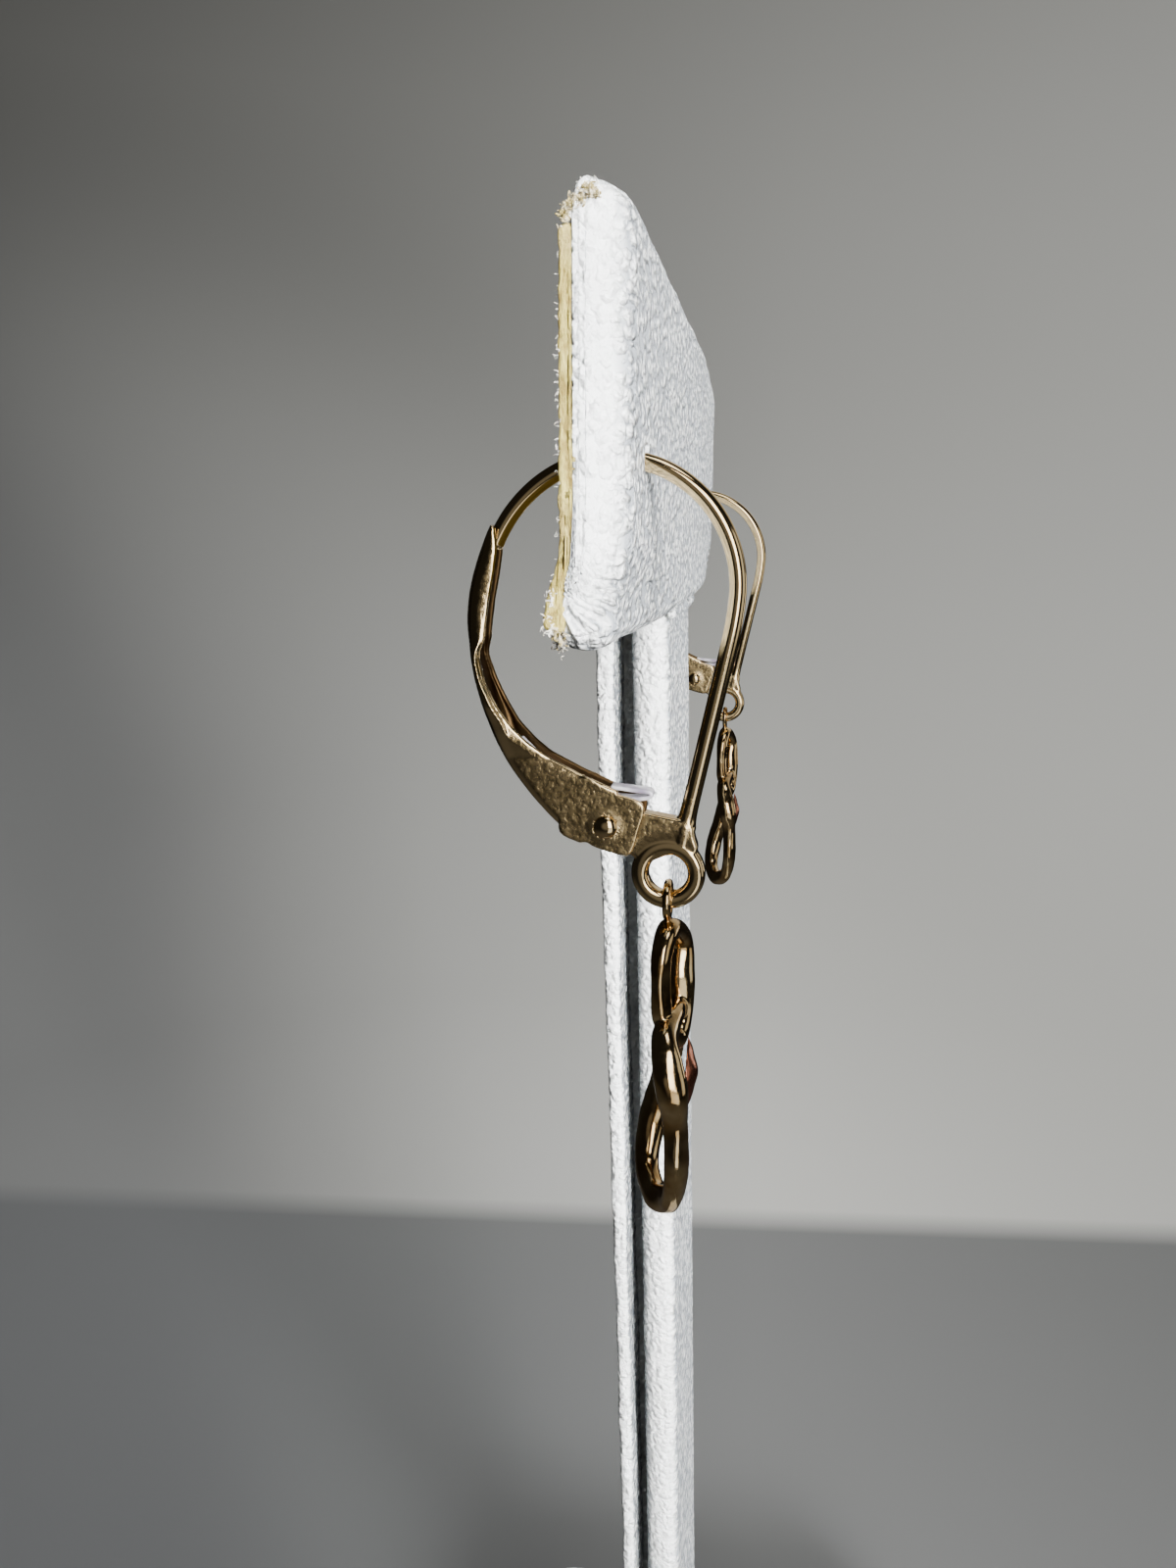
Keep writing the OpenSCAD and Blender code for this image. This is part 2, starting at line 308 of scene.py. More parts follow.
def lathe(stations, sides):
    """A profile of rows [x, radius] turned round the X axis."""
    a, x, radius = turns(sides), stations[:, :1], stations[:, 1:]
    return shell(grid(x, radius * np.cos(a), radius * np.sin(a)))


def stacked(shells):
    """The points of several skins in one array, and their faces counted on from one skin to the next."""
    points, faces, start = [], [], 0
    for p, f in shells:
        points.append(p)
        faces += [[v + start for v in face] for face in f]
        start += len(p)
    return np.vstack(points), faces


def in_scene(name, data):
    """A new object in the scene that holds the data."""
    obj = bpy.data.objects.new(name, data)
    bpy.context.scene.collection.objects.link(obj)
    return obj


def new_mesh(name, points, faces):
    """A new mesh from points in metres and their faces."""
    mesh = bpy.data.meshes.new(name)
    mesh.from_pydata(points.tolist(), [], faces)
    return mesh


def mesh_object(name, shells):
    """One mesh object from several skins, in metres, with its faces turned outwards."""
    points, faces = stacked(shells)
    mesh = new_mesh(name, points * MM, faces)
    work = bmesh.new()
    work.from_mesh(mesh)
    bmesh.ops.remove_doubles(work, verts=work.verts, dist=1e-8)
    bmesh.ops.recalc_face_normals(work, faces=work.faces)
    work.to_mesh(mesh)
    work.free()
    return in_scene(name, mesh)


def fused(name, shells, grain, passes):
    """Skins that overlap flow into one body, as solder and casting leave them: a voxel remesh at grain
    times the fusing size, then smoothed by so many passes."""
    obj = mesh_object(name, shells)
    flow = obj.modifiers.new("Flow", "REMESH")
    flow.mode, flow.voxel_size, flow.use_smooth_shade = "VOXEL", sizes().fusing * grain, True
    buff = obj.modifiers.new("Buff", "SMOOTH")
    buff.factor, buff.iterations = 0.5, passes
    made = bpy.data.meshes.new_from_object(obj.evaluated_get(bpy.context.evaluated_depsgraph_get()))
    obj.modifiers.clear()
    old, obj.data = obj.data, made
    bpy.data.meshes.remove(old)
    made.name = name
    return obj


def vertex_table(obj, what):
    """Each vertex's place ("co") or "normal" as a row."""
    rows = np.empty(len(obj.data.vertices) * 3)
    obj.data.vertices.foreach_get(what, rows)
    return rows.reshape(-1, 3)


def write_shares(obj, name, shares):
    """Writes a number for each vertex that the material reads by this name."""
    attribute = obj.data.attributes.new(name, "FLOAT", "POINT")
    attribute.data.foreach_set("value", shares.astype(np.float32))


def joined(name, objects):
    """Several meshes as one object."""
    shells = [(vertex_table(o, "co"), [p.vertices for p in o.data.polygons]) for o in objects]
    for o in objects:
        bpy.data.objects.remove(o)
    return in_scene(name, new_mesh(name, *stacked(shells)))


# Materials


def add_node(tree, kind, inputs=(), **settings):
    """Adds one shader node: settings are its properties, and inputs are its sockets' values, or the sockets
    or nodes that feed them. A node feeds others by the first of its outputs that is in use.

    Sockets go by number where Blender repeats a name or leaves it long. In Math 0 to 2 are the values. In
    MapRange 0 is the value, 1 and 2 are the range it comes from, and 3 and 4 the range it goes to, which is
    0 to 1 if not given. In Mix 0 is the share of the second, 2 and 3 are numbers and 6 and 7 colours."""
    made = tree.nodes.new("ShaderNode" + kind)
    for key, value in settings.items():
        setattr(made, key, value)
    for key, value in dict(inputs).items():
        if isinstance(value, bpy.types.Node):
            value = next(o for o in value.outputs if o.enabled)
        if isinstance(value, bpy.types.NodeSocket):
            tree.links.new(value, made.inputs[key])
        else:
            made.inputs[key].default_value = value
    return made


def painted(name, paint):
    """The named material, made once: paint(add, mm) adds its nodes and returns its shader, and mm are the
    object's coordinates in millimetres."""
    material = bpy.data.materials.get(name)
    if not material:
        material = bpy.data.materials.new(name)
        material.use_nodes = True
        material.node_tree.nodes.clear()
        add = partial(add_node, material.node_tree)
        place = add("TexCoord").outputs["Object"]
        mm = add("Mapping", {"Vector": place, "Scale": (1 / MM,) * 3})
        add("OutputMaterial", {"Surface": paint(add, mm)})
    return material


def polished_gold(add, mm):
    """14 carat yellow gold, drawn or cast and polished by hand: mirror-bright, with soft waves from the
    buff that bend the reflections and a few dull specks."""
    patches = add("TexNoise", {"Vector": mm, "Scale": 0.9})
    worn = add("MapRange", {0: patches, 1: 0.35, 2: 0.65, 4: 0.75})
    colour = add("Mix", {0: worn, 6: colours().gold, 7: linear("#a87c40")}, data_type="RGBA")
    specks = add("TexNoise", {"Vector": mm, "Scale": 5.0, "Detail": 3.0})
    rough = add("MapRange", {0: specks, 1: 0.45, 2: 0.75, 3: 0.08, 4: 0.18})
    waves = add("TexNoise", {"Vector": mm, "Scale": 1.1, "Detail": 0.5})
    buff = add("Bump", {"Height": waves, "Distance": 0.014 * MM})
    scratches = add("TexNoise", {"Vector": mm, "Scale": 14.0, "Detail": 4.0})
    fine = add("Bump", {"Height": scratches, "Distance": 0.0012 * MM, "Normal": buff})
    return add("BsdfPrincipled", {"Base Color": colour, "Metallic": 1.0, "Roughness": rough, "Normal": fine})


def stamped_gold(add, mm):
    """The same gold as stamped sheet: finely hammered, pitted cheeks under a thin brown oxide, polished
    rims, a rougher hollow whose dark brown is painted shade, and a rough golden ring where each rivet head
    was closed. The oxide keeps off the wire, and off the eyelet, which the bail rubs clean."""
    normal = add("SeparateXYZ", {0: add("NewGeometry").outputs["Normal"]}).outputs["X"]
    side = add("Math", {0: normal}, operation="ABSOLUTE")
    wire = add("Attribute", attribute_name="wire").outputs["Fac"]
    off_wire = add("Math", {0: side, 1: wire}, operation="SUBTRACT")
    cheek = add("MapRange", {0: off_wire, 1: 0.955, 2: 0.99})
    hollow = add("Attribute", attribute_name="hollow").outputs["Fac"]
    flat = add("VectorMath", {0: mm, 1: (0.0, 1.0, 1.0)}, operation="MULTIPLY")
    rivet = (0.0, EYE_Y + PIVOT[0], EYE_Z + PIVOT[1])
    reach = add("VectorMath", {0: flat, 1: rivet}, operation="DISTANCE").outputs["Value"]
    eyelet = add("VectorMath", {0: flat, 1: (0.0, EYE_Y, EYE_Z)}, operation="DISTANCE").outputs["Value"]
    off_eye = add("MapRange", {0: eyelet, 1: 1.35, 2: 1.8})
    cheek = add("Math", {0: cheek, 1: off_eye}, operation="MULTIPLY")
    pits = add("TexNoise", {"Vector": mm, "Scale": 4.5, "Detail": 4.0, "Roughness": 0.55})
    uneven = add("Math", {0: pits, 1: 0.5, 2: reach}, operation="MULTIPLY_ADD")
    ring = add("MapRange", {0: uneven, 1: 0.72, 2: 1.0, 3: 1.0, 4: 0.0})
    patches = add("TexNoise", {"Vector": mm, "Scale": 2.2, "Detail": 6.0, "Roughness": 0.7})
    oxide = add("MapRange", {0: patches, 1: 0.38, 2: 0.6, 3: 0.25, 4: 1.0})
    off_ring = add("MapRange", {0: ring, 3: 1.0, 4: 0.2})
    oxide = add("Math", {0: oxide, 1: cheek}, operation="MULTIPLY")
    oxide = add("Math", {0: oxide, 1: off_ring}, operation="MULTIPLY")
    browned = add("Mix", {0: oxide, 6: colours().gold, 7: linear("#b8a072")}, data_type="RGBA")
    # Painted shade: the inside of the channel is mixed towards dark brown.
    colour = add("Mix", {0: hollow, 6: browned, 7: linear("#5f4a30")}, data_type="RGBA")
    grit = add("MapRange", {0: pits, 1: 0.3, 2: 0.7, 3: 0.2, 4: 0.34})
    rough = add("Mix", {0: cheek, 2: 0.12, 3: grit})
    dull = add("Math", {0: hollow, 1: 0.2, 2: rough}, operation="MULTIPLY_ADD")
    coarse = add("Math", {0: ring, 1: 2.0, 2: cheek}, operation="MULTIPLY_ADD")
    depth = add("Math", {0: pits, 1: coarse}, operation="MULTIPLY")
    hammered = add("Bump", {"Height": depth, "Distance": 0.04 * MM})
    return add(
        "BsdfPrincipled", {"Base Color": colour, "Metallic": 1.0, "Roughness": dull, "Normal": hammered}
    )


def rose_gold(add, mm):
    """Rose gold leaf, stamped and polished, with a copper warmth."""
    ripple = add("TexNoise", {"Vector": mm, "Scale": 5.0, "Detail": 3.0})
    uneven = add("Bump", {"Height": ripple, "Distance": 0.01 * MM})
    tint = add("MapRange", {0: ripple, 1: 0.4, 2: 0.7, 4: 0.5})
    colour = add("Mix", {0: tint, 6: colours().rose, 7: linear("#a8604a")}, data_type="RGBA")
    return add("BsdfPrincipled", {"Base Color": colour, "Metallic": 1.0, "Roughness": 0.22, "Normal": uneven})


def spring_steel(add, mm):
    """Spring steel strip, rolled and heat-tempered: bright, with drawn lines along it and a faint violet."""
    heat = add("MapRange", {0: add("TexNoise", {"Vector": mm, "Scale": 1.0}), 1: 0.45, 2: 0.65})
    colour = add("Mix", {0: heat, 6: colours().steel, 7: linear("#9c90a6")}, data_type="RGBA")
    along_it = add("Mapping", {"Vector": mm, "Scale": (18.0, 0.6, 0.6)})
    lines = add("TexNoise", {"Vector": along_it, "Scale": 1.0, "Detail": 3.0})
    drawn = add("Bump", {"Height": lines, "Distance": 0.004 * MM})
    return add("BsdfPrincipled", {"Base Color": colour, "Metallic": 0.7, "Roughness": 0.28, "Normal": drawn})


def leatherette(add, mm):
    """White leatherette: a vinyl coat on cloth, embossed with a crinkled pebble grain about 0.4 mm high that
    is flatter where the cover is stretched over the ends, with finer creases between, a satin gloss, and
    faintly soiled. The grain's valleys carry painted shade, a blue-grey mixed into the colour. Along the
    bar the grain is drawn 0.7 mm wide, coarser than the real one, so that it shows where the front is seen
    at a glancing angle."""
    normal = add("SeparateXYZ", {0: add("NewGeometry").outputs["Normal"]}).outputs["X"]
    end = add("Math", {0: normal}, operation="ABSOLUTE")
    deep = add("MapRange", {0: end, 1: 0.25, 2: 0.8, 3: 1.0, 4: 0.3})
    soil = add("TexNoise", {"Vector": mm, "Scale": 0.12, "Detail": 4.0})
    soiled = add("MapRange", {0: soil, 1: 0.45, 2: 0.75, 4: 0.5})
    stray = add("TexNoise", {"Vector": mm, "Scale": 2.2, "Detail": 3.0}).outputs["Color"]
    wide = add("Mapping", {"Vector": mm, "Scale": (0.6, 1.0, 1.0)})
    warped = add("VectorMath", {0: stray, 1: (0.5,) * 3, 2: wide}, operation="MULTIPLY_ADD")
    pebble = add("TexVoronoi", {"Vector": warped, "Scale": 2.7}, feature="F1").outputs["Distance"]
    low = add("MapRange", {0: pebble, 1: 0.1, 2: 0.75})
    sunk = add("Math", {0: low, 1: deep}, operation="MULTIPLY")
    crease = add("TexNoise", {"Vector": mm, "Scale": 5.5, "Detail": 5.0, "Roughness": 0.7})
    embossed = add("Bump", {"Height": sunk, "Distance": 0.5 * MM}, invert=True)
    fine = add("Bump", {"Height": crease, "Distance": 0.05 * MM, "Normal": embossed})
    pale = add("Mix", {0: soiled, 6: colours().leatherette, 7: linear("#e2e3df")}, data_type="RGBA")
    # Painted shade: the colour is mixed towards blue-grey in the grain's valleys.
    valley = add("MapRange", {0: sunk, 1: 0.3, 2: 0.75, 4: 0.85})
    colour = add("Mix", {0: valley, 6: pale, 7: linear("#888f96")}, data_type="RGBA")
    return add("BsdfPrincipled", {"Base Color": colour, "Roughness": 0.24, "Normal": fine})


def loose_fibre(hex_colour):
    """Loose paper or cotton fibre: matt, and a little paler along the strands."""
    def paint(add, mm):
        strands = add("TexNoise", {"Vector": mm, "Scale": 4.0})
        pale = add("MapRange", {0: strands, 1: 0.4, 2: 0.7, 4: 0.6})
        colour = add("Mix", {0: pale, 6: linear(hex_colour), 7: linear("#efe8d8")}, data_type="RGBA")
        return add("BsdfPrincipled", {"Base Color": colour, "Roughness": 0.95})
    return paint


def backing_card(add, mm):
    """Straw card and felt, cut and yellowed with age: slanting pale fibres with darker olive between them,
    dirt, and a dark olive-brown band along the side that is stuck to the bar."""
    slant = add("Mapping", {"Vector": mm, "Rotation": (0.5, 0, 0), "Scale": (1.0, 2.2, 0.8)})
    fibre = add("TexNoise", {"Vector": slant, "Scale": 1.7, "Detail": 6.0, "Roughness": 0.7})
    between = add("MapRange", {0: fibre, 1: 0.4, 2: 0.6})
    pale = add("Mix", {0: between, 6: linear("#9c8848"), 7: colours().card}, data_type="RGBA")
    dirt = add("MapRange", {0: add("TexNoise", {"Vector": mm, "Scale": 0.35}), 1: 0.5, 2: 0.68, 4: 0.6})
    worn = add("Mix", {0: dirt, 6: pale, 7: linear("#bfae78")}, data_type="RGBA")
    y = add("SeparateXYZ", {0: mm}).outputs["Y"]
    ragged = add("Math", {0: fibre, 1: 0.5, 2: y}, operation="MULTIPLY_ADD")
    # Darker olive-brown in a band along the side that lies against the bar.
    stuck = HEAD_HIGH[1]
    bar_side_band = add("MapRange", {0: ragged, 1: stuck + 0.28, 2: stuck + 0.48, 3: 1.0, 4: 0.0})
    colour = add("Mix", {0: bar_side_band, 6: worn, 7: linear("#5d4d28")}, data_type="RGBA")
    rough = add("Bump", {"Height": fibre, "Distance": 0.3 * MM})
    return add("BsdfPrincipled", {"Base Color": colour, "Roughness": 0.9, "Normal": rough})


def studio_paper(add, mm):
    """Pale matt paper in two tones: the near sheet is darker, and on both a painted shade darkens the paper
    low down behind the stand, which is turned away from the window."""
    across = add("VectorMath", {0: mm, 1: (1.0, 0.11, 0.0)}, operation="DOT_PRODUCT").outputs["Value"]
    sheet = add("MapRange", {0: across, 1: 93.0, 2: 99.0})
    x, y, z = add("SeparateXYZ", {0: mm}).outputs
    # Painted shade: the paper is mixed towards dark grey the further it lies behind the stand and the lower
    # it is.
    farther = add("Math", {0: x, 1: 0.0}, operation="MAXIMUM")
    along_x = add("Math", {0: farther, 1: 64.0}, operation="ADD")
    aside = add("Math", {0: y, 1: along_x}, operation="DIVIDE")
    away = add("MapRange", {0: aside, 1: 0.0, 2: 0.75, 4: 0.85})
    low = add("MapRange", {0: z, 1: 20.0, 2: 370.0, 3: 1.25, 4: 0.3})
    deeper = add("Math", {0: away, 1: low}, operation="MULTIPLY")
    shade = add("Math", {0: deeper, 1: 0.88, 2: 0.2}, operation="SMOOTH_MIN")
    near = add("Mix", {0: sheet, 6: linear("#6f706f"), 7: linear("#bbbbb6")}, data_type="RGBA")
    colour = add("Mix", {0: shade, 6: near, 7: linear("#4c4d4e")}, data_type="RGBA")
    return add("BsdfPrincipled", {"Base Color": colour, "Roughness": 0.95, "Specular IOR Level": 0.1})


# Each finish of a piece: the record's slot that it belongs to and the function that paints it.
FINISHES = {
    "leatherette_embossed": ("leatherette", leatherette),
    "straw_card_aged": ("backing_card", backing_card),
    "straw_card_torn": ("backing_card", loose_fibre("#8f8152")),
    "cotton_back_frayed": ("backing_card", loose_fibre("#dedbd2")),
    "cotton_back_soiled": ("backing_card", loose_fibre("#2c2a26")),
    "yellow_gold_stamped": ("yellow_gold", stamped_gold),
    "yellow_gold_polished": ("yellow_gold", polished_gold),
    "spring_steel_rolled": ("spring_steel", spring_steel),
    "rose_gold_stamped": ("rose_gold", rose_gold),
}


def finished(obj, body, finish, nodes, at=(0, 0, 0)):
    """Puts a piece in its place, smooth and painted, on its body, where it stands for its CAD nodes."""
    slot, paint = FINISHES[finish]
    obj.data.transform(Matrix.Translation(at))
    obj.data.polygons.foreach_set("use_smooth", [True] * len(obj.data.polygons))
    obj.data.materials.append(painted(finish, paint))
    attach(obj, body)
    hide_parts(*nodes)


# Earring shapes, in rows of y and z from the middle of the eyelet

# The wire leaves the plate here, leaning forward, and bends back over the top in arcs:
# rows of bend radius and turn in degrees.
FOOT = (-0.54, 1.5)
FOOT_LEAN = 12.0
LEG = 7.6
HOOK_BENDS = ((11.2, 8.0), (4.57, 130.0), (5.1, 34.0))
# Solder thickens the wire by this share up to this height, and then fades out.
SOLDER_SHARE, SOLDER_UP, SOLDER_FADE = 0.3, 0.9, 0.3
# This much of the wire's foot is fused to the plate, in a skin just over the wire's own.
STUB, STUB_SKIN = 2.2, 0.004
PLATE = [
    (-1.06, 0.9), (-1.0, 1.5), (-0.88, 2.0), (-0.5, 2.16), (0.95, 2.42), (1.75, 2.66), (2.35, 2.84),
    (2.95, 2.6), (3.28, 2.1), (3.24, 1.5), (2.85, 1.05), (2.3, 0.92), (1.75, 0.86), (1.3, 0.62),
    (0.9, 0.4), (0.0, 0.75),
]
PLATE_T = 0.76
EYE_RO, EYE_RI, EYE_T, EYE_POWER = 1.43, 0.745, 0.86, 2.7
PIVOT = (2.37, 1.85)

LEVER_BACK = [
    (3.5, 1.22), (4.45, 2.0), (5.48, 3.12), (6.38, 4.4), (7.02, 5.95), (7.44, 7.6),
    (7.72, 9.2), (7.64, 10.5), (7.36, 11.6), (6.97, 12.62), (6.74, 13.06),
]
CHEEK_EDGE = [
    (6.6, 13.06), (6.56, 12.7), (6.54, 12.2), (6.68, 11.3), (6.88, 10.3), (7.02, 9.3), (7.07, 8.72),
    (7.19, 8.5), (7.22, 8.15), (6.98, 7.3), (6.56, 6.42), (6.02, 5.58), (5.36, 4.93),
    (4.74, 4.47), (3.32, 3.76), (2.02, 3.2), (0.93, 2.78),
]
EAR_OUTLINE = [
    (0.93, 2.76), (1.12, 1.7), (1.3, 1.05), (1.56, 0.74), (2.3, 0.88), (2.85, 1.06), (3.1, 1.2),
    (3.5, 1.22), (4.2, 1.79), (3.4, 3.74), (2.02, 3.18),
]
# Half width of the lever at each height: [z, half width]
LEVER_PLAN = [
    (0.4, 0.64), (4.4, 0.64), (5.4, 0.92), (6.4, 1.12), (7.5, 1.12), (8.3, 0.9), (8.9, 0.66), (10, 0.62),
    (12, 0.6), (12.8, 0.58), (13.3, 0.52),
]
# The channel's section at distances along its back: how deep its rounded bottom is, and its power.
SECTION_AT, BOTTOM_DEPTH, BOTTOM_POWER = (0, 3, 7, 12), (0.45, 0.6, 0.75, 0.6), (3.2, 2.8, 2.3, 2.1)
# The sheet's floor thins to this at the tip, between these heights.
TIP_FLOOR, TIP_HEIGHTS = 0.11, (10.6, 11.4)
# The rim's polished slope is widest along the scoop.
SLOPE_AT, RIM_SLOPE = (0, 4.5, 5.3, 8.2, 9.0, 14), (0.17, 0.2, 0.4, 0.42, 0.16, 0.12)

# The spring's middle line and its half thickness
SPRING_LINE = [
    (5.75, 5.08, 0.055), (5.1, 4.46, 0.055), (4.3, 3.88, 0.055), (3.5, 3.42, 0.055), (2.6, 3.05, 0.055),
    (1.8, 2.92, 0.07), (1.15, 2.92, 0.09), (0.8, 2.98, 0.09), (0.68, 3.08, 0.09), (0.8, 3.19, 0.09),
    (1.3, 3.24, 0.09), (2.2, 3.34, 0.07),
]
SPRING_HALF, SPRING_POWER = 0.34, 6

# The rivet's shank, between the outsides of the lever's ears, and its domed heads
SHANK_R, SHANK_HALF = 0.3, 0.66
DOME_R, DOME_RISE = 0.45, 0.24

# The drop's two cast loops: [x, y, z, half thickness front to back, half width in the loop's plane, and the
# section's turn about the loop's line in degrees]
UPPER_LOOP = [
    (0, -0.1, -2.3, 0.45, 0.42, 0), (-0.92, 0.1, -2.85, 0.4, 0.4, 24), (-1.1, 0.13, -4.0, 0.32, 0.42, 32),
    (-1.0, 0.07, -5.4, 0.37, 0.42, 30), (-0.45, -0.2, -6.5, 0.38, 0.42, 15),
    (0.25, -0.45, -6.9, 0.4, 0.42, 0), (0.9, -0.55, -6.1, 0.46, 0.45, 10),
    (1.05, -0.47, -4.6, 0.56, 0.5, 20), (1.25, -0.42, -3.2, 0.48, 0.46, 12),
]
LOWER_LOOP = [
    (0.0, -0.35, -5.7, 0.42, 0.45, 0), (-1.55, -0.12, -6.1, 0.5, 0.5, 12),
    (-2.15, -0.3, -7.0, 0.6, 0.58, -18), (-2.38, -0.5, -8.0, 0.62, 0.62, -14),
    (-2.2, -0.62, -9.4, 0.46, 0.5, 20),
    (-2.2, -0.7, -11.4, 0.42, 0.54, 30), (-1.3, -0.42, -13.1, 0.44, 0.56, 10),
    (0.0, 0.3, -13.9, 0.5, 0.53, 0), (1.4, 0.84, -13.3, 0.5, 0.55, 10), (2.3, 0.7, -11.7, 0.58, 0.6, 20),
    (2.3, 0.28, -9.9, 0.52, 0.6, 20), (1.9, -0.1, -8.0, 0.5, 0.55, 10), (1.2, -0.3, -6.3, 0.46, 0.5, 0),
]
LOOP_POWER, LOOP_UNEVEN = 2.4, 0.05
BAIL_Z, BAIL_R, BAIL_WIRE = -1.1, 0.65, 0.17
LEAF_AT, LEAF_TURN = (0.5, -0.82, -8.6), 20


def flat_to_space(line):
    """Points of y and z as points in space at x = 0."""
    return np.column_stack([np.zeros(len(line)), line])


def wire_path(step=0.06):
    """Middle line of the hook's wire: a straight leg that leans, then three arcs, each starting where and
    as the one before ends. An arc point is centre - radius (cos, sin) of the lean there."""
    lean = math.radians(FOOT_LEAN)
    s = np.arange(-0.5, LEG, step)
    line = [np.column_stack([FOOT[0] - s * math.sin(lean), FOOT[1] + s * math.cos(lean)])]
    start = np.array([FOOT[0] - LEG * math.sin(lean), FOOT[1] + LEG * math.cos(lean)])
    for radius, degrees in HOOK_BENDS:
        turn = math.radians(degrees)
        a = np.linspace(0, turn, max(8, int(radius * turn / step)))
        centre = start + radius * np.array([math.cos(lean), math.sin(lean)])
        arc = centre - radius * np.column_stack([np.cos(lean - a), np.sin(lean - a)])
        line.append(arc[:-1])
        start, lean = arc[-1], lean - turn
    line.append(start[None])
    return np.vstack(line)


def hook_shells():
    """The wire, thicker where solder runs up its foot and round at its end, the plate, and the eyelet: a
    ring whose section is a squared circle."""
    path = wire_path()
    s = lengths(path)
    r = sizes().wire_radius / MM
    radius = r * (1 + SOLDER_SHARE * np.exp(-np.maximum(s - SOLDER_UP, 0) / SOLDER_FADE))
    to_end = np.clip((s[-1] - s) / r, 0, 1)
    radius = radius * np.sqrt(np.clip(1 - (1 - to_end) ** 2, 0.02, 1))
    wire = tube(flat_to_space(path), radius, 40)
    stub = tube(flat_to_space(path[s < STUB]), radius[s < STUB] + STUB_SKIN, 40)
    plate = pillow(blend_rows(PLATE, 8, loop=True), PLATE_T, 0.1)
    a = turns(120)[:, None]
    reach, across = squared_circle(turns(32), EYE_POWER)
    reach = (EYE_RO + EYE_RI) / 2 + (EYE_RO - EYE_RI) / 2 * reach
    ring = shell(grid(EYE_T / 2 * across, reach * np.cos(a), reach * np.sin(a)), loop=True)
    return wire, [stub, plate, ring]


def ray_reach(starts, ways, line):
    """Distance from each start, along its way, to the first crossing with a line of points."""
    a, b = line[:-1], line[1:]
    e = b - a
    w = a[None] - starts[:, None]
    d = ways[:, None]
    cross = d[..., 0] * e[..., 1] - d[..., 1] * e[..., 0]
    cross = np.where(np.abs(cross) < 1e-9, 1e-9, cross)
    far = (w[..., 0] * e[..., 1] - w[..., 1] * e[..., 0]) / cross
    at = (w[..., 0] * d[..., 1] - w[..., 1] * d[..., 0]) / cross
    hit = (at >= -0.02) & (at <= 1.02) & (far > 0)
    return np.where(hit, far, np.inf).min(1)


def lever_shells():
    """The lever is a channel: at each station of its back line a U of half width w and depth h stands on the
    inward normal. Its outer side is a superellipse |x/w|^p + |1 - d/c|^p = 1 up to the corner depth c and
    straight cheeks above, and its inner side is the same one sheet further in."""
    t = sizes().sheet / MM
    back = blend_rows(LEVER_BACK, 10)
    inward = quarter_turn(along(back))
    depth = ray_reach(back, inward, np.asarray(CHEEK_EDGE))
    good = np.isfinite(depth)
    s = lengths(back)
    depth = np.interp(s, s[good], depth[good])
    depth = np.convolve(np.pad(depth, 1, mode="edge"), [0.25, 0.5, 0.25], "valid")
    corner = np.clip(np.interp(s, SECTION_AT, BOTTOM_DEPTH), 0, depth * 0.92)[:, None]
    power = np.interp(s, SECTION_AT, BOTTOM_POWER)[:, None]
    thin = np.interp(back[:, 1], TIP_HEIGHTS, [t, TIP_FLOOR])[:, None]
    slope = np.interp(s, SLOPE_AT, RIM_SLOPE)[:, None]
    plan = np.asarray(LEVER_PLAN)

    def side(inset, floor):
        """One side of the sheet, which is narrower by inset and has its bottom at the depth of the floor."""
        bottom_x, rise = squared_circle(np.linspace(0, math.pi, 33), power)
        bottom_d = floor + (corner - floor) * (1 - rise)
        up = 1 - np.linspace(0, 1, 19)[None, :-1] ** 1.6
        cheek = corner + (depth[:, None] - corner) * up
        to_rim = depth[:, None] - cheek
        drawn = 1 - 0.3 * slope * np.clip(1 - to_rim / slope, 0, 1)
        d = np.concatenate([cheek, bottom_d, cheek[:, ::-1]], 1)
        x = np.concatenate([drawn, bottom_x, -drawn[:, ::-1]], 1)
        place = back[:, None, :] + d[..., None] * inward[:, None, :]
        half = np.interp(place[..., 1], plan[:, 0], plan[:, 1]) - inset
        return np.concatenate([(x * half)[..., None], place], -1)

    def rim(one, other):
        """Half a circle over the sheet's edge, from one side to the other."""
        over = np.linspace(0, math.pi, 8)[None, 1:-1, None]
        arc = (one + other) / 2 + (one - other) / 2 * np.cos(over)
        arc[..., 1:] += t / 2 * np.sin(over) * inward[:, None]
        return arc

    outer, inner = side(0.0, np.zeros_like(thin)), side(t, thin)
    rims = rim(outer[:, -1:], inner[:, -1:]), rim(inner[:, :1], outer[:, :1])
    rows = np.concatenate([outer, rims[0], inner[:, ::-1], rims[1]], 1)
    middle = (outer + inner) / 2
    end = np.concatenate([middle, rims[0], middle[:, ::-1], rims[1]], 1)
    channel = shell(np.concatenate([end[:1], rows, end[-1:]]))
    ear = blend_rows(EAR_OUTLINE, 5, loop=True)
    x = LEVER_PLAN[0][1] - t / 2
    return [channel, pillow(ear, t, 0.06, x), pillow(ear, t, 0.06, -x)]


def hollow_shares(obj):
    """How far each point belongs to the inside of the channel: its normal looks to the middle, or it lies on
    the channel's floor, and it is well inside the outer width."""
    x, y, z = vertex_table(obj, "co").T / MM
    to_middle = -np.sign(x) * vertex_table(obj, "normal")[:, 0]
    back = blend_rows(LEVER_BACK, 6)
    depth = np.hypot(y[:, None] - back[None, :, 0], z[:, None] - back[None, :, 1]).min(1)
    half = np.interp(z, *np.asarray(LEVER_PLAN).T)
    cheek = smooth(to_middle, -0.1, 0.4)
    floor = smooth(depth, 0.12, 0.2) * (1 - smooth(depth, 0.35, 0.5))
    return np.maximum(cheek, floor) * smooth(half - np.abs(x), 0.1, 0.18)


